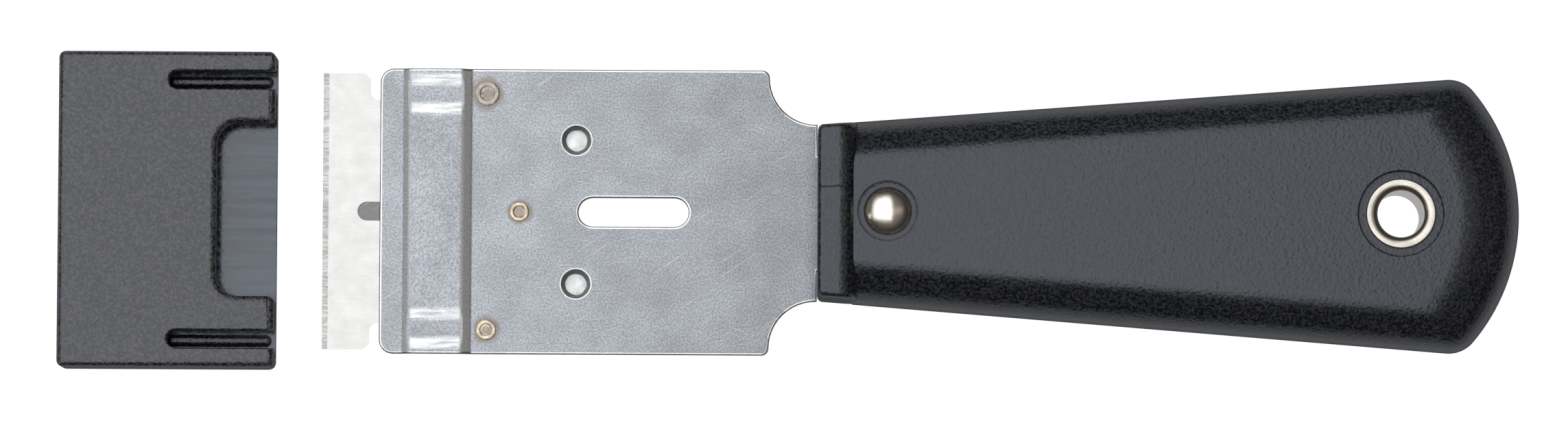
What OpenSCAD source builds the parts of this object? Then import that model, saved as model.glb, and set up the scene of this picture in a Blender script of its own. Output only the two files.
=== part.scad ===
// Razor blade scraper: a riveted handle with a sheet-steel head that holds a
// single-edge blade, and a push-on guard that is shown taken off.
// Lengths are in millimetres. X runs along the tool towards the tail, Z is up.

/* [Razor blade] */
// Width of the blade along its cutting edge
blade_w = 38.1; // [36:0.1:39]
// Depth of the blade from its cutting edge to the back of its spine
blade_d = 18.9; // [18:0.1:20]
// Thickness of the blade steel
blade_t = 0.23; // [0.2:0.01:0.35]
// Width of the ground bevel behind the cutting edge
bevel_w = 0.8; // [0.5:0.1:1.5]
// Depth of the full-width part behind the cutting edge
blade_front_d = 6.5; // [5.5:0.1:7.5]
// Chamfer on the rear corners of the full-width part
blade_chamfer = 0.8; // [0.3:0.1:1.5]
// Inside radius of the corner notches
notch_r = 1.2; // [0.5:0.1:2]
// Width of the slot in the middle of the blade
blade_slot_w = 2.6; // [1.5:0.1:4]
// Distance of the slot's round end behind the cutting edge
blade_slot_set = 4.8; // [3:0.1:7]
// Length of the folded spine along the blade's back
spine_l = 30.7; // [28:0.1:34]
// Depth of the spine
spine_d = 6.6; // [5:0.1:7.5]
// Thickness of the spine over both of its leaves
spine_t = 1.25; // [1:0.05:1.6]

/* [Blade holder] */
// Width of the holder's head
plate_w = 39.3; // [38.5:0.1:44]
// Length of the head from its lip to the handle's collar
head_l = 60.2; // [56:0.2:72]
// Thickness of the holder's sheet
holder_t = 0.8; // [0.6:0.05:1.2]
// Depth of blade that stands out ahead of the lip
blade_reach = 7.9; // [7:0.1:9]
// Run of the slope that climbs from the lip to the channel
front_slope = 1; // [0.8:0.1:2]
// Run of the slope that falls behind the channel
rear_slope = 1.3; // [1:0.1:2]
// Bend radius at the middle of the sheet
bend_r = 1; // [0.7:0.1:1.2]
// Radius of the lip's corners
lip_r = 1.9; // [0.5:0.1:4]
// Radius of the head's rear corners
head_corner_r = 1; // [0.5:0.1:2]
// Length of the slot through the head
slot_l = 15.2; // [10:0.2:20]
// Width of the slot through the head
slot_w = 4; // [3:0.1:6]
// Distance of the slot's middle ahead of the collar
slot_set = 25.3; // [20:0.1:28]
// Width of the two flats that are pressed into the channel's roof
crimp_w = 2.5; // [1.5:0.1:3]
// Distance between the pressed flats across the head
crimp_pitch = 32.3; // [30:0.1:33]
// Depth of the pressed flats
crimp_depth = 0.15; // [0.05:0.01:0.25]
// Diameter of the two clinched cups at their mouths
clinch_d = 3.9; // [3.2:0.1:5]
// Distance between the clinched cups across the head
clinch_pitch = 19.8; // [16:0.2:26]
// Distance of the clinched cups ahead of the collar
clinch_set = 33.2; // [30:0.1:36]
// Depth of the clinched cups below the head's face
clinch_depth = 1.4; // [1.2:0.1:2]
// Diameter of the spot-weld marks
weld_d = 3; // [2:0.1:4]
// Distance between the outer weld marks across the head
weld_pitch = 32.6; // [28:0.2:34]
// Distance of the outer weld marks behind the channel's foot
weld_set = 2.2; // [2:0.1:4]
// Distance of the middle weld mark behind the channel's foot
weld_mid_set = 6.7; // [4:0.1:9]
// Width of the tang inside the handle
tang_w = 16; // [12:0.5:19]
// Metal left on the tang behind the eyelet
tang_end = 3; // [2:0.1:5]

/* [Backing plate] */
// Thickness of the backing plate
backing_t = 0.8; // [0.6:0.05:1.2]
// Distance of the tongue's front behind the cutting edge
tongue_set = 3.3; // [2:0.1:4.5]
// Margin of the backing plate inside the head's sides
backing_margin = 1.2; // [0.5:0.1:2]
// Metal left on the backing plate behind the slot
backing_end = 3.5; // [2:0.1:5]
// Radius of the backing plate's corners
backing_r = 1; // [0.5:0.1:2]

/* [Handle] */
// Length of the handle from its collar to its tail
handle_l = 96.5; // [85:0.5:120]
// Width that the tapered sides reach level with the collar's front
handle_front_w = 24.4; // [22:0.1:28]
// Width that the tapered sides reach level with the tail's end
handle_rear_w = 39.3; // [34:0.1:44]
// Thickness of the handle between its two flat faces
handle_t = 13.2; // [11:0.1:16]
// Radius of the arc that ends the tail
tail_r = 27; // [25:0.5:40]
// Radius of the tail's two corners
tail_corner_r = 4.4; // [2.5:0.1:6]
// Width of the bevel along the sides, seen from above
side_bevel = 5.2; // [4:0.1:6.5]
// Width of the bevel round the tail, seen from above
tail_bevel = 6.9; // [4:0.1:8]
// Height of the upright side of each half above the parting plane
side_h = 3.2; // [2.6:0.1:3.8]
// Radius that blends the upright side into the bevel
side_r = 5.8; // [3:0.1:6]
// Radius along the edge of the flat face
face_r = 2.8; // [1:0.1:3.5]
// Length of the collar along the handle
collar_l = 5.35; // [4.5:0.05:6.5]
// Width of the collar across the handle
collar_w = 24; // [20:0.1:24.4]
// Height of the collar above each flat face
collar_rise = 1.15; // [0.5:0.05:2]
// Radius of the collar's front edges
collar_front_r = 0.75; // [0.3:0.05:1.2]
// Radius of the collar's rear edges
collar_rear_r = 2.6; // [1:0.1:3]
// Radius of the collar's corners, seen along the tool
collar_side_r = 0.9; // [0.5:0.1:2]

/* [Rivet] */
// Distance of the rivet behind the collar's front
rivet_set = 9.6; // [9:0.1:14]
// Diameter of the domed heads
rivet_head_d = 6.6; // [5.5:0.1:7.5]
// Height of the domed heads
rivet_head_h = 1.7; // [1:0.1:1.9]
// Diameter of the recess round each head
rivet_recess_d = 8; // [7.6:0.1:10]
// Diameter of the hollow barrel
rivet_barrel_d = 4.2; // [3.8:0.1:5]
// Diameter of the solid post in the barrel
rivet_post_d = 2.8; // [2:0.1:3.2]

/* [Hanging eyelet] */
// Distance of the eyelet's middle ahead of the tail's end
eyelet_set = 16.6; // [15:0.1:20]
// Diameter of the hole through the eyelet
eyelet_hole_d = 6.4; // [5:0.1:7.5]
// Diameter of the rolled flanges
eyelet_flange_d = 9.6; // [9.4:0.1:10.5]
// Radius of the throat where the tube rolls out into a flange
eyelet_throat_r = 1; // [0.7:0.05:1.1]
// Radius of the flanges' outer edges
eyelet_lip_r = 0.25; // [0.1:0.05:0.5]
// Height of the flanges above the recess floor
eyelet_rise = 0.75; // [0.6:0.05:1]
// Wall of the eyelet's tube
eyelet_wall = 0.4; // [0.3:0.05:0.6]
// Diameter of the recess round each flange
eyelet_recess_d = 11.6; // [11:0.1:12.5]
// Depth of the recesses round the rivet and the eyelet
recess_depth = 0.9; // [0.5:0.05:1.2]

/* [Blade guard] */
// Length of the guard along the tool
guard_l = 29.9; // [26:0.1:34]
// Wall at the guard's front and sides
guard_wall = 1.6; // [1.2:0.1:2.2]
// Wall on the guard's top and bottom
guard_skin = 1.4; // [1:0.1:2]
// Gap that the taken-off guard leaves ahead of the cutting edge
guard_gap = 6.4; // [2:0.1:12]
// Radius of the guard's outer edges
guard_edge_r = 1.1; // [0.4:0.1:1.3]
// Width of the thumb cut-out in the guard's top
thumb_w = 23.8; // [18:0.2:28]
// Depth of the thumb cut-out
thumb_d = 8; // [5:0.1:12]
// Radius of the cut-out's inner corners
thumb_r = 3; // [1:0.1:4]
// Radius of the cut-out's outer corners
thumb_lead_r = 1; // [0.5:0.1:1.5]
// Width of the two slots over the grip ribs
grip_slot_w = 2.4; // [1.8:0.1:3]
// Length of the slots from the open end
grip_slot_l = 14.7; // [10:0.1:18]
// Distance between the slots across the guard
grip_pitch = 35.7; // [33:0.1:36]
// Width of the grip ribs
rib_w = 1.1; // [0.8:0.1:1.6]
// Height of the grip ribs above the inside of the bottom wall
rib_h = 1.3; // [1:0.1:2]
// Distance of the ribs' ends inside the open end
rib_set = 0.9; // [0.5:0.1:2]

/* [Hidden] */

// Running gap on each face of the blade
blade_play = 0.02;
// Room ahead of and behind the spine in its channel
spine_play = 0.2;
// Room above and below the spine in its channel
spine_lift = 0.06;
// Run of the two slopes of the backing plate's channel
backing_slope = 1;
// Set-in of the tongue from the spine's ends
tongue_in = 0.35;
// Length of the neck between the shoulder arc and the collar
neck_l = 0.2;
// Gap between the head's shoulder and the collar
seat_play = 0.05;
// Room round the tang inside the handle
tang_play = 0.1;
// Radial room of the barrel and the tube in their holes
bore_play = 0.1;
// Radial room of the post in the barrel
post_play = 0.02;
// Run of the slopes at both sides of a pressed flat
crimp_slope = 1.5;
// Wall of the clinched cups, and the metal left at their floors
cup_wall = 0.4;
cup_floor = 0.35;
// Draft of a cup's wall, crown of its floor and radius of its lip
cup_draft = 0.45;
cup_crown = 0.12;
cup_lip_r = 0.25;
// Gap between the two nested cups of a clinch
cup_play = 0.02;
// Width and height of the bead round a weld, and depth of the disc inside it
weld_bead_w = 0.7;
weld_bead_h = 0.1;
weld_depth = 0.06;
// Straight rim under each domed rivet head
rivet_rim = 0.25;
// Room between the ends of the rivet's two halves and the opposite head
rivet_end_play = 0.4;
// Room between the head and the guard's top wall and ribs
guard_play = 0.15;
// Room between the head's sides and the guard's side walls
guard_side_play = 0.55;
// Radius of the guard's inner corners
guard_inner_r = 0.6;
// Radius of the flat face's tail corners
face_corner_r = 2;
// Share of the collar's rear radius that the grip runs under the collar
grip_lap_share = 0.35;
// Thickness of the slices that the handle is skinned over
film = 0.01;
// Overrun of cuts past the faces that they open
overrun = 2;
// Steps in a rounded corner, and facets of a full turn
arc_steps = 8;
turn_fn = 96;
// Steps in the handle's rounded edges, and facets of a full turn of its plan
skin_steps = 6;
plan_fn = 64;

// Places along X, measured from the collar's front face
lip_x = -head_l;
edge_x = lip_x - blade_reach;
spine_back_x = edge_x + blade_d;
spine_front_x = spine_back_x - spine_d;
channel_front_x = spine_front_x - spine_play;
channel_rear_x = spine_back_x + spine_play;
channel_foot_x = channel_rear_x + rear_slope;
tongue_x = edge_x + tongue_set;
slot_x = -slot_set;
clinch_x = -clinch_set;
eyelet_x = handle_l - eyelet_set;
guard_open_x = edge_x - guard_gap;
guard_front_x = guard_open_x - guard_l;
grip_x = collar_l - collar_rear_r * grip_lap_share;

// Heights, measured from the middle of the tang
blade_z = -holder_t / 2 + blade_play;
blade_top_z = blade_z + blade_t;
blade_mid_z = blade_z + blade_t / 2;
spine_z = blade_mid_z - spine_t / 2;
spine_top_z = blade_mid_z + spine_t / 2;
lip_z = blade_top_z + blade_play + holder_t / 2;
channel_z = spine_top_z + spine_lift + holder_t / 2;
backing_z = -(holder_t + backing_t) / 2;
backing_channel_z = spine_z - spine_lift - backing_t / 2;
head_top_z = channel_z + holder_t / 2;
head_bottom_z = backing_channel_z - backing_t / 2;
face_z = handle_t / 2;
floor_z = face_z - recess_depth;
collar_z = face_z + collar_rise;
guard_in_top_z = head_top_z + guard_play;
rib_top_z = head_bottom_z - guard_play;
guard_in_bottom_z = rib_top_z - rib_h;
guard_top_z = guard_in_top_z + guard_skin;
guard_bottom_z = guard_in_bottom_z - guard_skin;

// Widths that follow from the pieces they fit
shoulder_r = (plate_w - handle_front_w) / 2 - head_corner_r;
shoulder_x = -shoulder_r - neck_l;
cup_r = clinch_d / 2 + cup_wall;
tube_r = eyelet_hole_d / 2 + eyelet_wall;
eyelet_bore_r = tube_r + bore_play;
barrel_bore_r = rivet_barrel_d / 2 + bore_play;
tang_tip_x = eyelet_x + eyelet_bore_r + tang_end;
guard_in_w = plate_w + 2 * guard_side_play;
guard_w = guard_in_w + 2 * guard_wall;

// The origin lies under the middle of the whole object, on its lowest plane
middle_x = (guard_front_x + handle_l) / 2;
module in_frame() translate([-middle_x, 0, collar_z]) children();

// Points of an arc that rounds corner b, with radius b[2], between a and c
function unit(v) = v / norm(v);
function flat(p) = [p.x, p.y];
function corner(a, b, c, steps) =
    let (u = unit(flat(a) - flat(b)), v = unit(flat(c) - flat(b)), half = acos(u * v) / 2)
    b[2] == 0 ? [flat(b)] :
    let (
        hub = flat(b) + unit(u + v) * b[2] / sin(half),
        from = flat(b) + u * b[2] / tan(half) - hub,
        to = flat(b) + v * b[2] / tan(half) - hub,
        start = atan2(from.y, from.x),
        sweep = (atan2(to.y, to.x) - start + 540) % 360 - 180
    )
    [for (i = [0:steps]) let (turn = start + sweep * i / steps) hub + b[2] * [cos(turn), sin(turn)]];

// Outline with its corners rounded: each point is [x, y, radius]
function rounded(points, steps = arc_steps) =
    let (n = len(points))
    [for (i = [0:n - 1]) each corner(points[(i + n - 1) % n], points[i], points[(i + 1) % n], steps)];

// Outline that is alike on both sides of the X axis, from its +Y half
function both_sides(half) =
    concat(half, [for (i = [len(half) - 1:-1:0]) [half[i].x, -half[i].y, half[i][2]]]);

// Rectangle with its four corners rounded
function rounded_box(low, high, r) =
    rounded([[low.x, low.y, r], [high.x, low.y, r], [high.x, high.y, r], [low.x, high.y, r]]);

// Closed section of a sheet of thickness t that follows a path
function sheet_section(path, t) =
    let (
        n = len(path),
        way = [for (i = [0:n - 1]) unit(path[min(i + 1, n - 1)] - path[max(i - 1, 0)])],
        side = [for (w = way) [-w.y, w.x] * t / 2]
    )
    concat([for (i = [0:n - 1]) path[i] + side[i]], [for (i = [n - 1:-1:0]) path[i] - side[i]]);

// A section drawn in X and Z, carried across the tool
module across(width) rotate([90, 0, 0]) linear_extrude(height = width, center = true) children();

// A section drawn in Y and Z, carried along the tool from x0 to x1
module along(x0, x1) translate([x0, 0, 0]) rotate([90, 0, 90]) linear_extrude(height = x1 - x0) children();

// An outline drawn in X and Y, carried from z0 up to z1
module upright(z0, z1) translate([0, 0, z0]) linear_extrude(height = z1 - z0) children();

// Round bar along Z
module bar(x, y, r, z0, z1) translate([x, y, z0]) cylinder(r = r, h = z1 - z0, $fn = turn_fn);

// Slot with round ends, cut along X
module long_slot(x, length, width, z0, z1) {
    reach = (length - width) / 2;
    upright(z0, z1) translate([x - reach, -width / 2]) square([2 * reach, width]);
    for (end = [-1, 1]) bar(x + end * reach, 0, width / 2, z0, z1);
}

// The clinched cups lie in a pair, the welds in a triangle
clinch_places = [for (side = [-1, 1]) [clinch_x, side * clinch_pitch / 2]];
weld_places = [
    [channel_foot_x + weld_set, weld_pitch / 2],
    [channel_foot_x + weld_set, -weld_pitch / 2],
    [channel_foot_x + weld_mid_set, 0]
];

// Arc of a crown, from its rim at z = 0 up to its top on the axis
function crown(r, rise) =
    let (ball = (r * r + rise * rise) / (2 * rise), span = asin(r / ball))
    [for (i = [0:arc_steps])
        let (a = span * (1 - i / arc_steps)) [ball * sin(a), rise - ball + ball * cos(a)]];

// Void of a clinched cup in a face at z = 0: drafted wall, rounded lip, crowned floor
module cup_voids(z) {
    r = clinch_d / 2;
    floor_r = r - cup_draft;
    lip = corner([2 * r, 0], [r, 0, cup_lip_r], [floor_r, -clinch_depth], arc_steps);
    section = concat(
        [for (p = crown(floor_r, cup_crown)) p - [0, clinch_depth]], [[0, overrun], [lip[0].x, overrun]], lip
    );
    for (p = clinch_places) translate([p.x, p.y, z]) rotate_extrude($fn = turn_fn) polygon(section);
}

// Beads that the welding tips raised round their marks on a face at z = 0
module weld_beads(z) {
    half = weld_bead_w / 2;
    mid = weld_d / 2 - half;
    arc = crown(half, weld_bead_h);
    section = concat(
        [for (p = arc) [mid + p.x, p.y]], [for (i = [arc_steps - 1:-1:0]) [mid - arc[i].x, arc[i].y]],
        [[mid - half, -weld_depth - film], [mid + half, -weld_depth - film]]
    );
    for (p = weld_places) translate([p.x, p.y, z]) rotate_extrude($fn = turn_fn) polygon(section);
}

// Discs that the welding tips sank inside their beads, below a face at z = 0
module weld_discs(z)
    for (p = weld_places) bar(p.x, p.y, weld_d / 2 - weld_bead_w, z - weld_depth, z + overrun);

// Flats pressed into the channel's roof past the spine's ends
module roof_crimps()
    for (side = [-1, 1]) translate([0, side * crimp_pitch / 2, head_top_z])
        along(channel_front_x - front_slope, channel_foot_x) polygon([
            [-crimp_w / 2, -crimp_depth], [crimp_w / 2, -crimp_depth],
            [crimp_w / 2 + 2 * crimp_slope, crimp_depth], [-crimp_w / 2 - 2 * crimp_slope, crimp_depth]
        ]);

// Plan of the handle, drawn in by d along the sides and in step round the tail
module handle_plan(d) {
    taper = (handle_rear_w - handle_front_w) / 2 / handle_l;
    lead = side_bevel + overrun;
    front_half = handle_front_w / 2 - taper * lead;
    rear_half = handle_rear_w / 2 + taper * lead;
    round_r = face_corner_r + (tail_corner_r - face_corner_r) * max(1 - d / side_bevel, 0);
    arc_r = tail_r - d * tail_bevel / side_bevel;
    offset(r = round_r, $fn = plan_fn) offset(delta = -round_r) intersection() {
        offset(delta = -d) polygon([
            [-lead, -front_half], [handle_l + lead, -rear_half],
            [handle_l + lead, rear_half], [-lead, front_half]
        ]);
        translate([handle_l - tail_r, 0]) {
            circle(r = arc_r, $fn = plan_fn);
            translate([-handle_l, -arc_r]) square([handle_l, 2 * arc_r]);
        }
    }
}

// Section of one half's skin, as set-in and height from the side to the flat face
handle_skin = rounded([
    [0, 0, 0], [0, side_h, side_r], [side_bevel, face_z, face_r], [side_bevel + face_r, face_z, 0]
], skin_steps);

// Upper half of the moulded grip, with its collar, before it is bored
module grip_half() {
    half_w = collar_w / 2;
    intersection() {
        hull() for (p = handle_skin)
            translate([0, 0, min(p.y, face_z - film)]) linear_extrude(height = film) handle_plan(p.x);
        translate([grip_x, -handle_rear_w, 0]) cube([handle_l, 2 * handle_rear_w, collar_z]);
    }
    intersection() {
        upright(0, collar_z) polygon(rounded([
            [0, -half_w, collar_front_r], [collar_l, -half_w, 0],
            [collar_l, half_w, 0], [0, half_w, collar_front_r]
        ]));
        across(collar_w) polygon(rounded([
            [0, -collar_z, collar_front_r], [collar_l, -collar_z, collar_rear_r],
            [collar_l, collar_z, collar_rear_r], [0, collar_z, collar_front_r]
        ]));
        along(0, collar_l) polygon(rounded_box([-half_w, -collar_z], [half_w, collar_z], collar_side_r));
    }
}

// One half of the grip, with its seat for the tang and its holes
module handle_half() difference() {
    grip_half();
    translate([-overrun, -tang_w / 2 - tang_play, -overrun])
        cube([tang_tip_x + tang_play + overrun, tang_w + 2 * tang_play, holder_t / 2 + overrun]);
    bar(rivet_set, 0, barrel_bore_r, -overrun, collar_z);
    bar(rivet_set, 0, rivet_recess_d / 2, floor_z, collar_z);
    bar(eyelet_x, 0, eyelet_bore_r, -overrun, collar_z);
    bar(eyelet_x, 0, eyelet_recess_d / 2, floor_z, collar_z);
}

module handle_front() color("#47474c") in_frame() handle_half();

module handle_back() color("#424247") in_frame() mirror([0, 0, 1]) handle_half();

// Outline of a domed head on a shank, to be turned about Z: the head sits at z = 0
function rivet_half(shank_d) = concat(
    [for (p = crown(rivet_head_d / 2, rivet_head_h - rivet_rim)) p + [0, rivet_rim]],
    [[0, rivet_end_play - 2 * floor_z], [shank_d / 2, rivet_end_play - 2 * floor_z]],
    [[shank_d / 2, 0], [rivet_head_d / 2, 0]]
);

// Solid half of the rivet, put in from the front
module rivet_post() color("#cfc9bd") in_frame() translate([rivet_set, 0, floor_z])
    rotate_extrude($fn = turn_fn) polygon(rivet_half(rivet_post_d));

// Hollow half of the rivet, put in from the back
module rivet_barrel() color("#c9c3b7") in_frame() translate([rivet_set, 0, -floor_z]) mirror([0, 0, 1])
    difference() {
        rotate_extrude($fn = turn_fn) polygon(rivet_half(rivet_barrel_d));
        bar(0, 0, rivet_post_d / 2 + post_play, -2 * floor_z, 0);
    }

// Tube with a rolled flange at each end, which grips both halves and the tang
module hang_eyelet() {
    hole_r = eyelet_hole_d / 2;
    flange_r = eyelet_flange_d / 2;
    crest_z = floor_z + eyelet_rise;
    lip_r = min(eyelet_lip_r, flange_r - hole_r - eyelet_throat_r);
    throat = corner([hole_r, 0], [hole_r, crest_z, eyelet_throat_r], [flange_r, crest_z], arc_steps);
    lip = corner([hole_r, crest_z], [flange_r, crest_z, lip_r], [flange_r, 0], arc_steps);
    half = concat(throat, lip, [[flange_r, floor_z], [tube_r, floor_z]]);
    color("#d3cdc0") in_frame() translate([eyelet_x, 0, 0]) rotate_extrude($fn = turn_fn)
        polygon(concat(half, [for (i = [len(half) - 1:-1:0]) [half[i].x, -half[i].y]]));
}

// Holder: lip, raised channel, flat head and tang, bent from one sheet
module blade_holder() {
    path = rounded([
        [lip_x, lip_z, 0], [channel_front_x - front_slope, lip_z, bend_r],
        [channel_front_x, channel_z, bend_r], [channel_rear_x, channel_z, bend_r],
        [channel_foot_x, 0, bend_r], [tang_tip_x, 0, 0]
    ]);
    plan = rounded(both_sides([
        [lip_x, plate_w / 2, lip_r], [shoulder_x, plate_w / 2, head_corner_r],
        [shoulder_x, handle_front_w / 2, shoulder_r], [-seat_play, handle_front_w / 2, 0],
        [-seat_play, tang_w / 2, 0], [tang_tip_x, tang_w / 2, tang_end]
    ]));
    cup_z = holder_t / 2 - clinch_depth - cup_floor;
    color("#aeb3b9") in_frame() difference() {
        union() {
            intersection() {
                across(plate_w + overrun) polygon(sheet_section(path, holder_t));
                upright(-overrun, head_top_z + overrun) polygon(plan);
            }
            for (p = clinch_places) bar(p.x, p.y, cup_r, cup_z, 0);
            weld_beads(holder_t / 2);
        }
        cup_voids(holder_t / 2);
        weld_discs(holder_t / 2);
        roof_crimps();
        long_slot(slot_x, slot_l, slot_w, -overrun, overrun);
        bar(rivet_set, 0, barrel_bore_r, -overrun, overrun);
        bar(eyelet_x, 0, eyelet_bore_r, -overrun, overrun);
    }
}

// Backing plate: a tongue under the blade, a sunk channel, and a flat that is welded on
module backing_plate() {
    end_x = slot_x + slot_l / 2 + backing_end;
    wide = plate_w / 2 - backing_margin;
    narrow = spine_l / 2 - tongue_in;
    path = rounded([
        [tongue_x, backing_z, 0], [channel_front_x - backing_slope, backing_z, bend_r],
        [channel_front_x, backing_channel_z, bend_r], [channel_rear_x, backing_channel_z, bend_r],
        [channel_rear_x + backing_slope, backing_z, bend_r], [end_x, backing_z, 0]
    ]);
    plan = rounded(both_sides([
        [tongue_x, narrow, backing_r], [channel_foot_x, narrow, backing_r],
        [channel_foot_x, wide, backing_r], [end_x, wide, backing_r]
    ]));
    cup_z = holder_t / 2 - clinch_depth - cup_floor - cup_play;
    under_z = backing_z - backing_t / 2;
    color("#9da1a6") in_frame() difference() {
        union() {
            intersection() {
                across(plate_w) polygon(sheet_section(path, backing_t));
                upright(head_bottom_z - overrun, overrun) polygon(plan);
            }
            for (p = clinch_places) bar(p.x, p.y, cup_r + cup_play + cup_wall, cup_z - cup_floor, backing_z);
            mirror([0, 0, 1]) weld_beads(-under_z);
        }
        for (p = clinch_places) bar(p.x, p.y, cup_r + cup_play, cup_z, overrun);
        mirror([0, 0, 1]) weld_discs(-under_z);
        long_slot(slot_x, slot_l, slot_w, under_z - overrun, overrun);
    }
}

// Blade: a ground edge, corner notches and a slot that runs back under the spine
module razor_blade() {
    back_x = spine_back_x - (spine_t - blade_t) / 2;
    section = [
        [edge_x, blade_mid_z], [edge_x + bevel_w, blade_z], [back_x, blade_z],
        [back_x, blade_top_z], [edge_x + bevel_w, blade_top_z]
    ];
    notch_x = edge_x + blade_front_d;
    plan = rounded(both_sides([
        [edge_x, blade_w / 2, 0], [notch_x - blade_chamfer, blade_w / 2, 0],
        [notch_x, blade_w / 2 - blade_chamfer, 0], [notch_x, spine_l / 2, notch_r],
        [back_x, spine_l / 2, 0]
    ]));
    slot_front_x = edge_x + blade_slot_set;
    color("#e4e5e6") in_frame() difference() {
        intersection() {
            across(blade_w + overrun) polygon(section);
            upright(blade_z - overrun, blade_top_z + overrun) polygon(plan);
        }
        long_slot(
            (slot_front_x + spine_front_x + blade_slot_w) / 2, spine_front_x + blade_slot_w - slot_front_x,
            blade_slot_w, blade_z - overrun, blade_top_z + overrun
        );
    }
}

// Spine: a strip folded over the blade's back
module blade_spine() {
    leaf = (spine_t - blade_t) / 2;
    lead_r = leaf / 2;
    section = rounded([
        [spine_front_x, spine_z, lead_r], [spine_back_x, spine_z, leaf],
        [spine_back_x, spine_top_z, leaf], [spine_front_x, spine_top_z, lead_r]
    ]);
    color("#b9bcc0") in_frame() difference() {
        across(spine_l) polygon(section);
        translate([spine_front_x - overrun, -spine_l, blade_z])
            cube([spine_d + overrun - leaf, 2 * spine_l, blade_t]);
    }
}

// Guard: a flat sleeve with a thumb cut-out, and slots over its two grip ribs
module blade_guard() {
    half_w = guard_w / 2;
    in_half = guard_in_w / 2;
    in_front_x = guard_front_x + guard_wall;
    thumb = rounded(both_sides([
        [guard_open_x + overrun, thumb_w / 2 + overrun, 0], [guard_open_x, thumb_w / 2 + overrun, 0],
        [guard_open_x, thumb_w / 2, thumb_lead_r], [guard_open_x - thumb_d, thumb_w / 2, thumb_r]
    ]));
    color("#55565b") in_frame() {
        difference() {
            intersection() {
                upright(guard_bottom_z, guard_top_z)
                    polygon(rounded_box([guard_front_x, -half_w], [guard_open_x, half_w], guard_edge_r));
                across(guard_w) polygon(rounded_box(
                    [guard_front_x, guard_bottom_z], [guard_open_x, guard_top_z], guard_edge_r));
                along(guard_front_x, guard_open_x) polygon(rounded_box(
                    [-half_w, guard_bottom_z], [half_w, guard_top_z], guard_edge_r));
            }
            along(in_front_x, guard_open_x + overrun) polygon(rounded_box(
                [-in_half, guard_in_bottom_z], [in_half, guard_in_top_z], guard_inner_r));
            upright(guard_in_top_z - guard_inner_r, guard_top_z + overrun) polygon(thumb);
            for (side = [-1, 1]) translate([0, side * grip_pitch / 2, 0]) long_slot(
                guard_open_x - (grip_slot_l - overrun) / 2, grip_slot_l + overrun,
                grip_slot_w, guard_in_top_z - guard_inner_r, guard_top_z + overrun);
        }
        for (side = [-1, 1]) translate([0, side * grip_pitch / 2, 0]) long_slot(
            guard_open_x - (grip_slot_l + rib_set) / 2, grip_slot_l - rib_set,
            rib_w, guard_in_bottom_z - guard_skin / 2, rib_top_z);
    }
}

handle_front();
handle_back();
rivet_post();
rivet_barrel();
hang_eyelet();
blade_holder();
backing_plate();
razor_blade();
blade_spine();
blade_guard();
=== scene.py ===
"""Razor blade scraper: its finished pieces and surfaces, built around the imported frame"""
import functools
import math

import bmesh
import bpy
from bpy.props import FloatProperty, FloatVectorProperty, IntProperty, PointerProperty
from mathutils import Matrix, Vector, noise
from mathutils.bvhtree import BVHTree


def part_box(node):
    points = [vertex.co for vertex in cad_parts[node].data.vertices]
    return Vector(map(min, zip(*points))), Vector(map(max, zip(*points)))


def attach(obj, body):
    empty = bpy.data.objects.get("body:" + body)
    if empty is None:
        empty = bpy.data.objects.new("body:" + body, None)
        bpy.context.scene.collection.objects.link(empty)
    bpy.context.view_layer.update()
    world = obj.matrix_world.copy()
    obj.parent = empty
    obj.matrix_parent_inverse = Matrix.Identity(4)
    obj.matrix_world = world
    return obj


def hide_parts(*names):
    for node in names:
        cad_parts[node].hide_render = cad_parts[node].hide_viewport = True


bl_info = {
    "name": "Razor blade scraper",
    "version": (1, 0, 0),
    "blender": (4, 5, 0),
    "location": "3D View > Sidebar > Scraper",
    "description": "Finishes a riveted razor blade scraper whose guard is taken off",
    "category": "Object",
}

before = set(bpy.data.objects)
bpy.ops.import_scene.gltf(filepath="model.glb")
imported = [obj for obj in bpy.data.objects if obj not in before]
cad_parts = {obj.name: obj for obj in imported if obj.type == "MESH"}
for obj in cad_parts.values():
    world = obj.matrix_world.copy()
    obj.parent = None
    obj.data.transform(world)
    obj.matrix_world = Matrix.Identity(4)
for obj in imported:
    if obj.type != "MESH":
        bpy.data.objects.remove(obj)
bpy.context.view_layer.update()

MM = 0.001
ARC_STEPS = 12
TURN_FACETS = 128
SWEEP_R = 20 * MM
OVERRUN = 2 * MM
WELD_DISTANCE = 0.001 * MM
SAME_PLACE = 10 * WELD_DISTANCE
PLACE_DIGITS = 8
CREASE = math.radians(32)
FLAT_WITHIN = math.radians(0.2)


# Properties

def length(name, description, size):
    """Property for a length, with its default in millimetres"""
    return FloatProperty(name=name, description=description, default=size * MM, precision=5,
                         unit="LENGTH", subtype="DISTANCE")


def colour(name, description, value):
    """Property for a colour"""
    return FloatVectorProperty(name=name, description=description, default=value, size=3,
                               min=0, max=1, subtype="COLOR")


def turn(name, description, degrees):
    """Property for an angle, with its default in degrees"""
    return FloatProperty(name=name, description=description, default=math.radians(degrees),
                         unit="ROTATION", subtype="ANGLE")


def light_level(name, description, value):
    """Property for the strength of a light"""
    return FloatProperty(name=name, description=description, default=value, min=0, unit="POWER")


def share(name, description, value):
    """Property for a share between none and all"""
    return FloatProperty(name=name, description=description, default=value, min=0, max=1, subtype="FACTOR")


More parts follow.
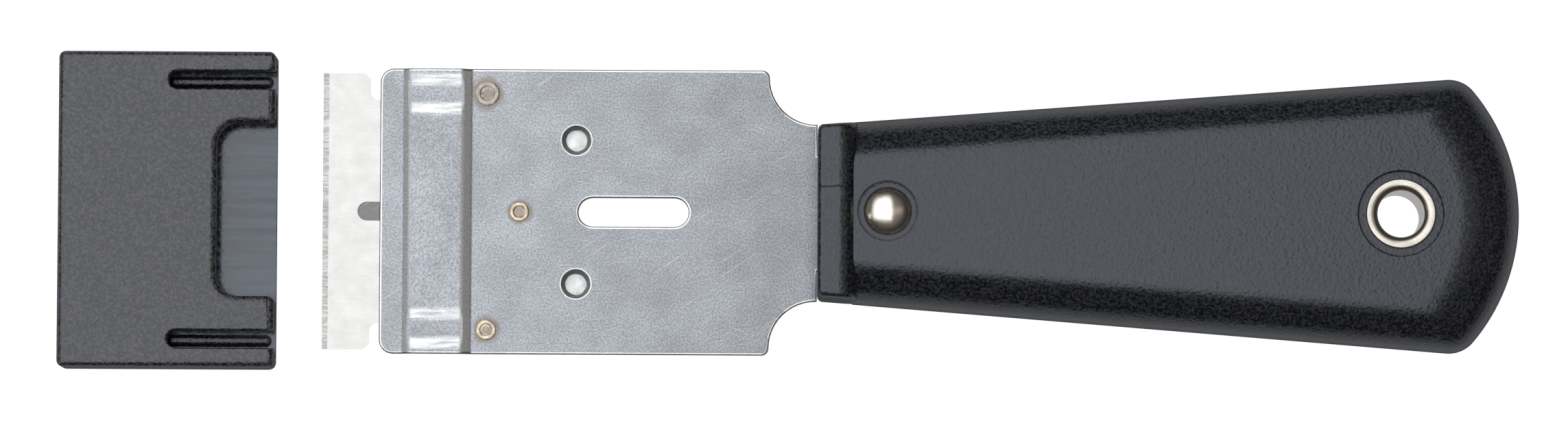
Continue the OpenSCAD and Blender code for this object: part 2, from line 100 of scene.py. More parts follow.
class HandleSizes(bpy.types.PropertyGroup):
    """Sizes of the two moulded grip halves"""
    front_w: length("Front width", "Width that the sides reach level with the collar's front", 24.4)
    rear_w: length("Rear width", "Width that the sides reach level with the tail's end", 39.3)
    tail_r: length("Tail radius", "Radius of the arc that ends the tail", 27)
    tail_corner_r: length("Tail corners", "Radius of the tail's two corners", 4.4)
    face_corner_r: length("Face corners", "Radius of the flat face's tail corners", 2)
    side_bevel: length("Side bevel", "Width of the bevel along the sides, from above", 5.2)
    tail_bevel: length("Tail bevel", "Width of the bevel round the tail, from above", 6.9)
    side_h: length("Side height", "Height of the upright side of one half", 3.2)
    side_r: length("Side radius", "Radius between the upright side and the bevel", 5.8)
    face_r: length("Face radius", "Radius between the bevel and the flat face", 4.6)
    seam: length("Seam", "Ease along the parting line of the two halves", 0.12)
    nose_r: length("Nose radius", "Radius of the grip's corners beside the collar", 0.5)
    nose_set: length("Nose place", "Distance of the grip's corners behind the collar's front", 4.44)
    collar_l: length("Collar length", "Length of the collar along the handle", 5.35)
    collar_w: length("Collar width", "Width of the collar at its middle", 24)
    collar_rise: length("Collar rise", "Height of the collar above the flat face", 1.15)
    collar_front_r: length("Collar front edge", "Radius of the collar's front edges", 0.75)
    collar_rear_r: length("Collar rear edge", "Radius of the collar's rear edges", 2.6)
    collar_side_r: length("Collar corners", "Radius of the collar's corners along the tool", 0.9)
    knit_set: length("Knit line", "Distance of the collar's knit line from its middle", 3.2)
    recess_depth: length("Recess depth", "Depth of the recesses round the rivet and the eyelet", 0.9)
    recess_lip: length("Recess lip", "Radius of the recesses' outer edges", 0.25)
    rivet_recess_d: length("Rivet recess", "Diameter of the recess round the rivet", 8)
    eyelet_recess_d: length("Eyelet recess", "Diameter of the recess round the eyelet", 11.6)
    rivet_bore_d: length("Rivet bore", "Diameter of the bore for the rivet", 4.4)
    eyelet_bore_d: length("Eyelet bore", "Diameter of the bore for the eyelet", 7.4)
    tang_w: length("Tang seat width", "Width of the seat for the tang", 16.2)
    tang_t: length("Tang seat depth", "Depth of the seat for the tang in one half", 0.4)
    tang_play: length("Tang seat play", "Room behind the tang's end", 0.1)


class FittingSizes(bpy.types.PropertyGroup):
    """Sizes of the rivet and the hanging eyelet"""
    rivet_head_d: length("Rivet head", "Diameter of the domed heads", 6.6)
    rivet_head_h: length("Rivet height", "Height of the domed heads", 1.7)
    rivet_rim: length("Rivet rim", "Straight rim under each dome", 0.25)
    rivet_barrel_d: length("Rivet barrel", "Diameter of the hollow half's barrel", 4.2)
    rivet_post_d: length("Rivet post", "Diameter of the solid half's post", 2.8)
    rivet_play: length("Rivet play", "Room round the post in the barrel", 0.02)
    rivet_end_play: length("Rivet end play", "Room between a shank's end and the other head", 0.4)
    eyelet_hole_d: length("Eyelet hole", "Diameter of the hole through the eyelet", 6.4)
    eyelet_flange_d: length("Eyelet flange", "Diameter of the rolled flanges", 9.6)
    eyelet_throat_r: length("Eyelet throat", "Radius where the tube rolls out", 1)
    eyelet_lip_r: length("Eyelet lip", "Radius of the flanges' outer edges", 0.25)
    eyelet_rise: length("Eyelet rise", "Height of the flanges above the recess floor", 0.75)
    eyelet_wall: length("Eyelet wall", "Wall of the eyelet's tube", 0.4)


class HeadSizes(bpy.types.PropertyGroup):
    """Sizes of the sheet-steel head and of the marks in it"""
    sheet_t: length("Sheet", "Thickness of the holder and the backing plate", 0.8)
    edge_ease: length("Edge ease", "Width of the rubbed ease along the sheared edges", 0.2)
    edge_drop: length("Edge drop", "Depth of the ease along the sheared edges", 0.05)
    # The dark cut line is painted shade on the outermost strip of the edge
    edge_cut: length("Edge cut", "Width and depth of the dark cut line along the sheared edges", 0.09)
    front_slope: length("Front slope", "Run of the slope from the lip up to the channel", 1)
    rear_slope: length("Rear slope", "Run of the slope behind the channel", 1.3)
    backing_slope: length("Backing slopes", "Run of the backing plate's two slopes", 1)
    bend_r: length("Bend radius", "Bend radius at the middle of the sheet", 1)
    spine_play: length("Spine play", "Room ahead of and behind the spine", 0.2)
    blade_play: length("Blade play", "Room between the lip and the blade", 0.02)
    lip_r: length("Lip corners", "Radius of the lip's corners", 1.9)
    corner_r: length("Rear corners", "Radius of the head's rear corners", 1)
    neck_l: length("Neck", "Length of the neck between the shoulder arc and the collar", 0.2)
    seat_play: length("Seat play", "Gap between the shoulder and the collar", 0.05)
    slot_l: length("Slot length", "Length of the slot through the head", 15.2)
    slot_w: length("Slot width", "Width of the slot through the head", 4)
    slot_set: length("Slot place", "Distance of the slot's middle ahead of the collar", 25.3)
    tang_w: length("Tang width", "Width of the tang inside the handle", 16)
    tang_end_r: length("Tang corners", "Radius of the tang's end corners", 3)
    crimp_w: length("Pressed flats", "Width of the flats pressed into the channel's roof", 2.5)
    crimp_slope: length("Pressed slopes", "Run of the slopes beside the pressed flats", 1.5)
    crimp_pitch: length("Flat pitch", "Distance between the pressed flats", 32.3)
    crimp_depth: length("Flat depth", "Depth of the pressed flats", 0.15)
    cup_d: length("Cup mouth", "Diameter of the clinched cups at their mouths", 3.9)
    cup_depth: length("Cup depth", "Depth of the clinched cups below the head's face", 1.4)
    cup_floor: length("Cup floor", "Metal left at the cups' floors", 0.35)
    cup_wall: length("Cup wall", "Wall of the clinched cups", 0.4)
    cup_draft: length("Cup draft", "Draft of the cups' walls", 0.45)
    cup_crown: length("Cup crown", "Crown of the cups' floors", 0.12)
    cup_lip_r: length("Cup lip", "Radius of the cups' lips", 0.25)
    cup_play: length("Cup play", "Gap between the nested cups", 0.02)
    cup_pitch: length("Cup pitch", "Distance between the two cups", 19.8)
    cup_set: length("Cup place", "Distance of the cups ahead of the collar", 33.2)
    weld_pitch: length("Weld pitch", "Distance between the outer welds", 32.6)
    weld_set: length("Weld place", "Distance of the outer welds behind the channel", 2.2)
    weld_mid_set: length("Middle weld", "Distance of the middle weld behind the channel", 6.7)
    weld_far_d: length("Far weld", "Diameter of the far weld mark", 3.4)
    weld_mid_d: length("Middle weld size", "Diameter of the middle weld mark", 2.7)
    weld_near_d: length("Near weld", "Diameter of the near weld mark", 2.8)
    weld_bead_w: length("Weld bead", "Width of the bead round a weld mark 1 mm in radius", 0.46)
    weld_bead_h: length("Weld bead height", "Height of the bead round a weld mark", 0.1)
    weld_lump: length("Weld lumps", "Size of the lumps in the weld beads", 0.7)
    weld_rough: length("Weld roughness", "Height of the lumps in the weld beads", 0.05)
    backing_margin: length("Backing margin", "Margin of the backing plate inside the head", 1.2)
    backing_r: length("Backing corners", "Radius of the backing plate's corners", 1)
    tongue_in: length("Tongue set-in", "Set-in of the tongue from the spine's ends", 0.35)


class BladeSizes(bpy.types.PropertyGroup):
    """Sizes of the razor blade"""
    bevel_w: length("Ground bevel", "Width of the ground bevel", 0.8)
    front_d: length("Front depth", "Depth of the full-width part", 6.5)
    chamfer: length("Chamfer", "Chamfer on the full-width part's rear corners", 0.8)
    notch_r: length("Notch radius", "Inside radius of the corner notches", 1.2)
    slot_w: length("Slot width", "Width of the slot in the blade", 2.6)
    slot_set: length("Slot place", "Distance of the slot's end behind the edge", 4.8)
    edge_t: length("Edge", "Thickness left at the cutting edge", 0.012)
    nick: length("Nicks", "Depth of the small nicks along the edge", 0.05)
    grind: length("Grinding line", "Waver of the line behind the ground bevel", 0.07)
    edge_steps: IntProperty(name="Edge steps", description="Steps along the edge", default=150, min=20)


class GuardSizes(bpy.types.PropertyGroup):
    """Sizes of the blade guard"""
    lip_r: length("Edge radius", "Radius of the guard's cut edges", 0.34)
    end_r: length("End radius", "Radius of the edges round the guard's open end", 0.12)
    slot_from: length("Slot side", "Distance across that parts the slots from the cut-out", 15.8)
    wall: length("Wall", "Least wall of the guard", 1.4)
    corner_r: length("Corners", "Radius of the guard's outer corners", 1.1)
    thumb_w: length("Cut-out width", "Width of the thumb cut-out", 23.8)
    thumb_d: length("Cut-out depth", "Depth of the thumb cut-out", 8)
    thumb_r: length("Cut-out corners", "Radius of the thumb cut-out's inner corners", 3)
    thumb_lip: length("Cut-out lip", "Width of the eased lip round the thumb cut-out", 1.05)


class FinishColours(bpy.types.PropertyGroup):
    """Colours of the finishes, among them painted highlights and painted shade on the head"""
    grip: colour("Grip", "Moulded plastic of the handle", (0.0110, 0.0112, 0.0136))
    grip_sheen: colour("Grip sheen", "Tint of the handle's sheen", (0.86, 0.90, 1))
    guard_sheen: colour("Guard sheen", "Tint of the guard's sheen", (0.95, 0.95, 1))
    guard: colour("Guard", "Moulded plastic of the guard", (0.0230, 0.0226, 0.0265))
    guard_inside: colour("Guard inside", "Smooth inside of the guard", (0.0150, 0.0180, 0.0215))
    sheet: colour("Sheet", "Rolled sheet", (0.425, 0.440, 0.470))
    # Darker speckle of the sheet, also used as painted shade on the clinched cups' walls
    sheet_speckle_and_wall_shade: colour("Sheet shadow", "Darker clouds of the rolled sheet", (0.270, 0.278, 0.298))
    # Painted shade: the backing plate is darkened for the shadow it lies in under the holder and the blade
    backing: colour("Backing", "Duller sheet of the backing plate", (0.185, 0.172, 0.163))
    # Painted light: lighter, duller grey on the channel's slopes, standing in for the light they catch
    bent: colour("Bent sheet", "Dull slopes of the channel", (0.520, 0.508, 0.492))
    # Painted shade along the outermost strip of the sheet's sheared edges
    cut_line: colour("Cut line", "Dark line along the sheared edges", (0.060, 0.060, 0.062))
    # Bare sheared steel, and also a painted highlight along the eased edges, on the roof's bands and in the
    # cups
    sheared: colour("Sheared edge", "Bright sheared edges and rubbed metal", (0.80, 0.80, 0.79))
    heat: colour("Heat tint", "Tint round the welds", (0.235, 0.195, 0.160))
    weld: colour("Weld", "Metal of the weld beads", (0.430, 0.390, 0.345))
    weld_gold: colour("Golden weld", "Metal of the golden weld beads", (0.740, 0.620, 0.480))
    weld_dark: colour("Weld centre", "Burnt middle of the welds", (0.250, 0.212, 0.185))
    rivet: colour("Rivet", "Nickel plate of the rivet", (0.90, 0.81, 0.70))
    nickel: colour("Nickel", "Nickel plate of the eyelet", (0.66, 0.61, 0.55))
    blade: colour("Blade", "Bright blade steel", (0.575, 0.562, 0.545))
    ground: colour("Ground edge", "Ground bevel of the blade", (0.560, 0.550, 0.535))
    floor: colour("Floor", "Plain pale floor", (0.30, 0.30, 0.30))


class StageSettings(bpy.types.PropertyGroup):
    """Camera and light"""
    elevation: turn("Elevation", "Height of the camera above the floor", 86.4)
    roll: turn("Roll", "Roll of the camera", 0.3)
    distance: length("Distance", "Distance of the camera", 1250)
    view_w: length("View width", "Width of the view at the tool", 215.7)
    aim_x: length("Aim along", "Place along the tool that the camera looks at", -0.66)
    aim_y: length("Aim across", "Place across the tool that the camera looks at", -0.05)
    aim_z: length("Aim height", "Height that the camera looks at", 8)
    floor_w: length("Floor width", "Width of the floor", 12000)
    sky: light_level("Room light", "Strength of the dim light all round", 1)
    panel: light_level("Panel light", "Power of the wide panel overhead", 7.1)
    window: light_level("Window light", "Power of the small low lamp that draws highlights", 0.2)
    light_tint: colour("Light tint", "Cool tint of the panel's light", (0.955, 0.98, 1))
    floor_glow: share("Floor glow", "Lift of the floor as it is seen", 0.95)
    floor_mirror: share("Floor mirrored", "Share of the lift that mirroring surfaces show", 0.4)
    side: light_level("Side light", "Power of the warm lamp beside the tail", 0.25)
    side_tint: colour("Side tint", "Warm tint of the side lamp's light", (1, 0.9, 0.8))


class ScraperSettings(bpy.types.PropertyGroup):
    """All settings of the scraper"""
    handle: PointerProperty(type=HandleSizes)
    fittings: PointerProperty(type=FittingSizes)
    head: PointerProperty(type=HeadSizes)
    blade: PointerProperty(type=BladeSizes)
    guard: PointerProperty(type=GuardSizes)
    colours: PointerProperty(type=FinishColours)
    stage: PointerProperty(type=StageSettings)


# Outlines

def polar(radius, angle):
    """Point at a radius and an angle"""
    return Vector((radius * math.cos(angle), radius * math.sin(angle)))


def arc(hub, radius, start, sweep, steps=ARC_STEPS):
    """Points of an arc round a hub"""
    return [hub + polar(radius, start + sweep * k / steps) for k in range(steps + 1)]


def quarter_turn():
    """Angles of a quarter turn"""
    return [math.pi / 2 * k / ARC_STEPS for k in range(ARC_STEPS + 1)]


def rounded(corners, closed=True):
    """Outline or path through (x, y, radius) corners, with an arc in each"""
    line = []
    last = len(corners) - 1
    for i, (x, y, radius) in enumerate(corners):
        here = Vector((x, y))
        if radius == 0 or (not closed and i in (0, last)):
            line.append(here)
            continue
        back = (Vector(corners[i - 1][:2]) - here).normalized()
        ahead = (Vector(corners[(i + 1) % len(corners)][:2]) - here).normalized()
        half = back.angle(ahead) / 2
        hub = here + (back + ahead).normalized() * radius / math.sin(half)
        first = here + back * radius / math.tan(half) - hub
        final = here + ahead * radius / math.tan(half) - hub
        start = math.atan2(first.y, first.x)
        sweep = (math.atan2(final.y, final.x) - start + 3 * math.pi) % math.tau - math.pi
        line += arc(hub, radius, start, sweep)
    return line


def both_sides(half):
    """Outline alike on both sides of the X axis, from the points of its +Y half"""
    return half + [(x, -y, radius) for x, y, radius in reversed(half)]


def points(*pairs):
    """Points from pairs of numbers"""
    return [Vector(pair) for pair in pairs]


def flipped(line):
    """Points mirrored about the first axis"""
    return [Vector((p.x, -p.y)) for p in line]


def circle(middle, radius, facets=TURN_FACETS // 2):
    """Round outline"""
    return arc(middle, radius, 0, math.tau, facets)[:-1]


def long_hole(x, reach, width):
    """Outline of a slot along X with round ends"""
    half = width / 2
    line = []
    for way in (1, -1):
        hub = Vector((x + way * reach / 2 - way * half, 0))
        line += arc(hub, half, -way * math.pi / 2, math.pi)
    return line


def crown(radius, rise, steps=ARC_STEPS):
    """Arc of a crown, from its rim at height 0 up to its top on the axis"""
    ball = (radius ** 2 + rise ** 2) / (2 * rise)
    span = math.asin(radius / ball)
    angles = [span * (1 - k / steps) for k in range(steps + 1)]
    return [Vector((ball * math.sin(a), rise - ball + ball * math.cos(a))) for a in angles]


# Meshes

def new_piece(name, mesh):
    """Object at the origin that shows a mesh"""
    piece = bpy.data.objects.new(name, mesh)
    bpy.context.scene.collection.objects.link(piece)
    return piece


def piece_from(name, bm):
    """Piece from a bmesh, with its faces turned outwards"""
    bmesh.ops.recalc_face_normals(bm, faces=bm.faces)
    mesh = bpy.data.meshes.new(name)
    bm.to_mesh(mesh)
    bm.free()
    return new_piece(name, mesh)


def settle(piece):
    """Turns a piece's modifiers into its plain mesh"""
    graph = bpy.context.evaluated_depsgraph_get()
    mesh = bpy.data.meshes.new_from_object(piece.evaluated_get(graph))
    old = piece.data
    piece.modifiers.clear()
    piece.data = mesh
    mesh.name = piece.name
    bpy.data.meshes.remove(old)
    if not mesh.polygons:
        raise RuntimeError(f"{piece.name} came out empty")


def drop(piece):
    """Removes a piece that was only needed to shape another"""
    mesh = piece.data
    bpy.data.objects.remove(piece)
    bpy.data.meshes.remove(mesh)


def combine(piece, other, operation):
    """Joins another solid to a piece, or cuts it away, and drops that solid"""
    modifier = piece.modifiers.new("combine", "BOOLEAN")
    modifier.operation = operation
    modifier.solver = "MANIFOLD"
    modifier.object = other
    settle(piece)
    drop(other)


def loft(name, rings):
    """Closed solid through rings of points, capped at both ends"""
    bm = bmesh.new()
    rows = [[bm.verts.new(point) for point in ring] for ring in rings]
    for low, high in zip(rows, rows[1:]):
        for i in range(len(low)):
            bm.faces.new((low[i - 1], low[i], high[i], high[i - 1]))
    bm.faces.new(rows[0])
    bm.faces.new(rows[-1])
    return piece_from(name, bm)


def thickened(flat, half_of, part_of, middle=0, wall_part=0):
    """Closed sheet from a flat one, with half its thickness from each point and a finish from each face"""
    solid = bmesh.new()
    sides = []
    for way in (1, -1):
        sides.append({vert: solid.verts.new((*vert.co.xy, middle + way * half_of(vert)))
                      for vert in flat.verts})
    upper, lower = sides
    for face in flat.faces:
        part = part_of(face)
        solid.faces.new([upper[vert] for vert in face.verts]).material_index = part
        solid.faces.new([lower[vert] for vert in reversed(face.verts)]).material_index = part
    for edge in flat.edges:
        if edge.is_boundary:
            first, second = edge.verts
            wall = solid.faces.new((upper[first], upper[second], lower[second], lower[first]))
            wall.material_index = wall_part
    flat.free()
    return solid


def reshape(piece, change):
    """Runs a change on a piece's bmesh, and keeps the result"""
    bm = bmesh.new()
    bm.from_mesh(piece.data)
    change(bm)
    bm.to_mesh(piece.data)
    bm.free()


def turn_outwards(bm):
    """Merges doubles and turns the faces outwards"""
    bmesh.ops.remove_doubles(bm, verts=bm.verts, dist=WELD_DISTANCE)
    bmesh.ops.recalc_face_normals(bm, faces=bm.faces)


def flip_over(bm, height):
    """Mirrors a bmesh about a level plane"""
    for vert in bm.verts:
        vert.co.z = 2 * height - vert.co.z
    bmesh.ops.recalc_face_normals(bm, faces=bm.faces)


def merge_flats(bm):
    """Merges doubles and makes flat faces whole"""
    bmesh.ops.remove_doubles(bm, verts=bm.verts, dist=WELD_DISTANCE)
    bmesh.ops.dissolve_limit(bm, angle_limit=FLAT_WITHIN, verts=bm.verts, edges=bm.edges)


def dressed_copy(node, name):
    """Copy of a CAD node's shape, with its doubles merged and its flat faces whole"""
    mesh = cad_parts[node].data.copy()
    if "custom_normal" in mesh.attributes:
        mesh.attributes.remove(mesh.attributes["custom_normal"])
    mesh.materials.clear()
    piece = new_piece(name, mesh)
    reshape(piece, merge_flats)
    return piece


def middle_of(node):
    """Middle of a CAD node's box"""
    low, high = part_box(node)
    return (low + high) / 2


def finish_piece(piece, finishes, body, nodes):
    """Gives a piece its shading, its finishes and its place in the frame"""
    mesh = piece.data
    if finishes:
        parts = [min(face.material_index, len(finishes) - 1) for face in mesh.polygons]
        mesh.materials.clear()
        for material in finishes:
            mesh.materials.append(material)
        mesh.polygons.foreach_set("material_index", parts)
    mesh.polygons.foreach_set("use_smooth", [True] * len(mesh.polygons))
    mesh.set_sharp_from_angle(angle=CREASE)
    even = piece.modifiers.new("even shading", "WEIGHTED_NORMAL")
    even.keep_sharp = True
    settle(piece)
    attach(piece, body)
    if nodes:
        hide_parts(*nodes)


# Nodes

PEBBLE_SHARE = 0.7
LINE_RUN = 28.0
SCRATCH_LEVEL = 0.86
SCRATCH_EASE = 0.05
HALO_GRAIN = 900.0


class Field:
    """Output of a node, with arithmetic and effects that add further nodes to its tree"""

    def __init__(self, tree, socket):
        self.tree = tree
        self.socket = socket

    def __add__(self, other):
        return compute(self.tree, "ADD", self, other)

    def __sub__(self, other):
        return compute(self.tree, "SUBTRACT", self, other)

    def __rsub__(self, other):
        return compute(self.tree, "SUBTRACT", other, self)

    def __mul__(self, other):
        return compute(self.tree, "MULTIPLY", self, other)

    def __truediv__(self, other):
        return compute(self.tree, "DIVIDE", self, other)

    def __rtruediv__(self, other):
        return compute(self.tree, "DIVIDE", other, self)

    def __abs__(self):
        return compute(self.tree, "ABSOLUTE", self)

    def or_more(self, other):
        """The larger of two values"""
        return compute(self.tree, "MAXIMUM", self, other)

    def rise(self, low, high, bottom=0.0, top=1.0):
        """Smooth step up between two limits"""
        return add(self.tree, "ShaderNodeMapRange", {0: self, 1: low, 2: high, 3: bottom, 4: top},
                   interpolation_type="SMOOTHSTEP")

    def fall(self, low, high):
        """Smooth step down between two limits"""
        return self.rise(low, high, 1.0, 0.0)

    def between(self, low, high, ease):
        """Mask of the values between two limits, eased at both"""
        return self.rise(low - ease, low + ease) * self.fall(high - ease, high + ease)

    def mix(self, first, second):
        """Two colours mixed by this factor"""
        return mix_colour(self.tree, self, first, second)

    def blend(self, first, second):
        """Two values mixed by this factor"""
        return add(self.tree, "ShaderNodeMix", {0: self, 2: first, 3: second})

    def axes(self):
        """Parts of this vector along X, Y and Z"""
        parts = put(self.tree, "ShaderNodeSeparateXYZ", {0: self})
        return [Field(self.tree, socket) for socket in parts.outputs]

    def scaled(self, *scales):
        """This vector scaled along each axis, or by one scale along all"""
        by = vector(self.tree, *(scales if len(scales) > 1 else scales * 3))
        return add(self.tree, "ShaderNodeVectorMath", {0: self, 1: by}, operation="MULTIPLY")

    def level_length(self):
        """Length of this vector as seen from above"""
        return add(self.tree, "ShaderNodeVectorMath", {0: self.scaled(1.0, 1.0, 0.0)}, "Value",
                   operation="LENGTH")

    def noise(self, detail=2.0, rough=0.5):
        """Noise of unit size at this vector"""
        return add(self.tree, "ShaderNodeTexNoise",
                   {"Vector": self, "Scale": 1.0, "Detail": detail, "Roughness": rough})


def put(tree, kind, inputs=None, **options):
    """Adds a node with its options, and fills or links its inputs by name or number"""
    made = tree.nodes.new(kind)
    for key, value in options.items():
        setattr(made, key, value)
    for key, value in (inputs or {}).items():
        if isinstance(value, Field):
            tree.links.new(value.socket, made.inputs[key])
        else:
            made.inputs[key].default_value = value
    return made


def add(tree, kind, inputs=None, output=0, **options):
    """One output of a new node"""
    return Field(tree, put(tree, kind, inputs, **options).outputs[output])


def compute(tree, operation, *values):
    """Result of one piece of arithmetic"""
    return add(tree, "ShaderNodeMath", dict(enumerate(values)), operation=operation)


def vector(tree, x=0.0, y=0.0, z=0.0):
    """Vector from its three parts"""
    return add(tree, "ShaderNodeCombineXYZ", {0: x, 1: y, 2: z})


def mix_colour(tree, factor, first, second, blend="MIX"):
    """Mix of two colours"""
    return add(tree, "ShaderNodeMix", {0: factor, 6: first, 7: second}, 2, data_type="RGBA",
               blend_type=blend)


def turn_profile(given):
    """Sweeps a profile round an upright axis, and notes each point's distance from it"""
    tree = given["Profile"].tree
    profile = add(tree, "GeometryNodeMeshToCurve", {"Mesh": given["Profile"]})
    ring = add(tree, "GeometryNodeCurvePrimitiveCircle",
               {"Resolution": given["Facets"], "Radius": given["Sweep radius"]}, mode="RADIUS")
    swept = add(tree, "GeometryNodeCurveToMesh", {"Curve": ring, "Profile Curve": profile})
    merged = add(tree, "GeometryNodeMergeByDistance", {"Geometry": swept, "Distance": WELD_DISTANCE})
    reach = add(tree, "GeometryNodeInputPosition").level_length()
    noted = add(tree, "GeometryNodeStoreNamedAttribute",
                {"Geometry": merged, "Name": "from_middle", "Value": reach},
                data_type="FLOAT", domain="POINT")
    return {"Piece": dressed(noted, given["Finish"])}


def set_marks(given):
    """Sets a mark on each place, sized by the place, and turns and roughens it at random"""
    tree = given["Places"].tree
    mark = add(tree, "GeometryNodeObjectInfo", {"Object": given["Mark"]}, "Geometry",
               transform_space="ORIGINAL")
    size = add(tree, "GeometryNodeInputNamedAttribute", {"Name": "size"}, "Attribute", data_type="FLOAT")
    swing = add(tree, "FunctionNodeRandomValue", {2: 0.0, 3: math.tau, "Seed": given["Seed"]}, 1,
                data_type="FLOAT")
    facing = add(tree, "FunctionNodeEulerToRotation", {"Euler": vector(tree, z=swing)})
    spread = add(tree, "GeometryNodeInstanceOnPoints",
                 {"Points": given["Places"], "Instance": mark, "Rotation": facing,
                  "Scale": vector(tree, size, size, 1.0)})
    real = add(tree, "GeometryNodeRealizeInstances", {"Geometry": spread})
    lumps = add(tree, "ShaderNodeTexNoise", {"Scale": 1.0 / given["Lump size"], "Detail": 1.0})
    lift = (lumps - 0.5) * given["Roughness"]
    rough = add(tree, "GeometryNodeSetPosition", {"Geometry": real, "Offset": vector(tree, z=lift)})
    return {"Marks": dressed(rough, given["Finish"])}


def dressed(shape, finish):
    """Geometry without instances, in its finish"""
    real = add(shape.tree, "GeometryNodeRealizeInstances", {"Geometry": shape})
    return add(shape.tree, "GeometryNodeSetMaterial", {"Geometry": real, "Material": finish})


def moulded_grain(given):
    """Pebbled height and lighter flecks of a moulded grain"""
    fine = given["Vector"].scaled(1.0 / given["Size"])
    pebble = add(fine.tree, "ShaderNodeTexVoronoi", {"Vector": fine, "Scale": 0.8}, feature="SMOOTH_F1")
    fleck = fine.scaled(0.9).noise(2.0, 0.7)
    return {"Height": fine.noise(2.0, 0.6) + pebble * PEBBLE_SHARE, "Fleck": fleck.rise(0.4, 0.66)}


def rolled_metal(given):
    """Soft clouds, fine lines along the tool and a speckle"""
    place = given["Vector"]
    per_line = 1.0 / given["Line size"]
    cloud = place.scaled(1.0 / given["Cloud size"]).noise(5.0, 0.62)
    lines = place.scaled(per_line / LINE_RUN, per_line, per_line).noise(2.0, 0.6)
    speckle = place.scaled(per_line).noise(3.0, 0.7)
    return {"Cloud": cloud.rise(0.3, 0.72), "Lines": lines.rise(0.3, 0.7),
            "Speckle": speckle.rise(0.34, 0.66)}


def scratches(given):
    """Long thin lines at a slant, gathered in patches"""
    place = given["Vector"]
    swung = add(place.tree, "ShaderNodeVectorRotate", {"Vector": place, "Angle": given["Slant"]},
                rotation_type="Z_AXIS")
    per_length = 1.0 / given["Length"]
    lines = swung.scaled(per_length, 1.0 / given["Width"], per_length).noise(0.0)
    patch = swung.scaled(per_length).noise(1.0)
    over = lines - (SCRATCH_LEVEL - given["Amount"] * patch)
    return {"Mask": over.rise(0.0, SCRATCH_EASE)}


def halo(given):
    """Mask round a middle: full inside the radius, and gone at the ragged reach"""
    place = given["Vector"]
    apart = add(place.tree, "ShaderNodeVectorMath", {0: place, 1: given["Middle"]}, operation="SUBTRACT")
    ragged = place.scaled(HALO_GRAIN).noise(2.0)
    return {"Mask": apart.level_length().fall(given["Radius"], given["Reach"] * (ragged + 0.5))}


GROUPS = {
    "Turned piece": (
        turn_profile, "GeometryNodeTree",
        {"Profile": "Geometry", "Facets": "Int", "Sweep radius": "Float", "Finish": "Material"},
        {"Piece": "Geometry"}),
    "Marks on places": (
        set_marks, "GeometryNodeTree",
        {"Places": "Geometry", "Mark": "Object", "Roughness": "Float", "Lump size": "Float", "Seed": "Int",
         "Finish": "Material"},
        {"Marks": "Geometry"}),
    "Moulded grain": (
        moulded_grain, "ShaderNodeTree",
        {"Vector": "Vector", "Size": "Float"},
        {"Height": "Float", "Fleck": "Float"}),
    "Rolled metal": (
        rolled_metal, "ShaderNodeTree",
        {"Vector": "Vector", "Cloud size": "Float", "Line size": "Float"},
        {"Cloud": "Float", "Lines": "Float", "Speckle": "Float"}),
    "Scratches": (
        scratches, "ShaderNodeTree",
        {"Vector": "Vector", "Slant": "Float", "Length": "Float", "Width": "Float", "Amount": "Float"},
        {"Mask": "Float"}),
    "Halo": (
        halo, "ShaderNodeTree",
        {"Vector": "Vector", "Middle": "Vector", "Radius": "Float", "Reach": "Float"},
        {"Mask": "Float"}),
}


def node_group(name):
    """Node group from the table above, made at its first use"""
    if name in bpy.data.node_groups:
        return bpy.data.node_groups[name]
    make, kind, inputs, outputs = GROUPS[name]
    tree = bpy.data.node_groups.new(name, kind)
    for way, sockets in (("INPUT", inputs), ("OUTPUT", outputs)):
        for label, sort in sockets.items():
            tree.interface.new_socket(name=label, in_out=way, socket_type="NodeSocket" + sort)
    given = tree.nodes.new("NodeGroupInput").outputs
    result = tree.nodes.new("NodeGroupOutput").inputs
    for label, field in make({key: Field(tree, given[key]) for key in inputs}).items():
        tree.links.new(field.socket, result[label])
    return tree


def grow(piece, name, values):
    """Runs a geometry group on a piece, and keeps the result as its plain mesh"""
    modifier = piece.modifiers.new(name, "NODES")
    modifier.node_group = node_group(name)
    for label, value in values.items():
        modifier[modifier.node_group.interface.items_tree[label].identifier] = value
    settle(piece)


def turned(name, profile, place=(0, 0, 0), finish=None, closed=False):
    """Solid turned about an upright axis at a place, from (radius, height) points"""
    mesh = bpy.data.meshes.new(name)
    count = len(profile)
    links = [(i, (i + 1) % count) for i in range(count if closed else count - 1)]
    mesh.from_pydata([(p[0] - SWEEP_R, -p[1], 0) for p in profile], links, [])
    piece = new_piece(name, mesh)
    grow(piece, "Turned piece", {"Facets": TURN_FACETS, "Sweep radius": SWEEP_R, "Finish": finish})
    reshape(piece, turn_outwards)
    piece.data.transform(Matrix.Translation(place))
    return piece


def marks(name, mark, places, finish, roughness=0.0, lump=1 * MM, seed=1):
    """Copies of a mark on (place, size) pairs, as one piece; the pattern is dropped"""
    mesh = bpy.data.meshes.new(name)
    mesh.from_pydata([place for place, size in places], [], [])
    sizes = mesh.attributes.new("size", "FLOAT", "POINT")
    sizes.data.foreach_set("value", [size for place, size in places])
    piece = new_piece(name, mesh)
    grow(piece, "Marks on places", {"Mark": mark, "Roughness": roughness, "Lump size": lump, "Seed": seed,
                                    "Finish": finish})
    drop(mark)
    return piece


# Finishes

PLASTIC_IOR = 1.55
DARK_FLECK = 0.02
PALE_FLECK = 3.0
STREAKS = (45.0, 900.0, 900.0)
GRAIN_ROUGHNESS = 0.06
GLANCING_ROUGHNESS = 0.8
KNIT_WAVER = 0.3 * MM
KNIT_DEPTH = 1.5
KNIT_FADE = 1.5 * MM
SHEET_METAL = 0.85
PAINTED_SLOPE_METAL = 0.3
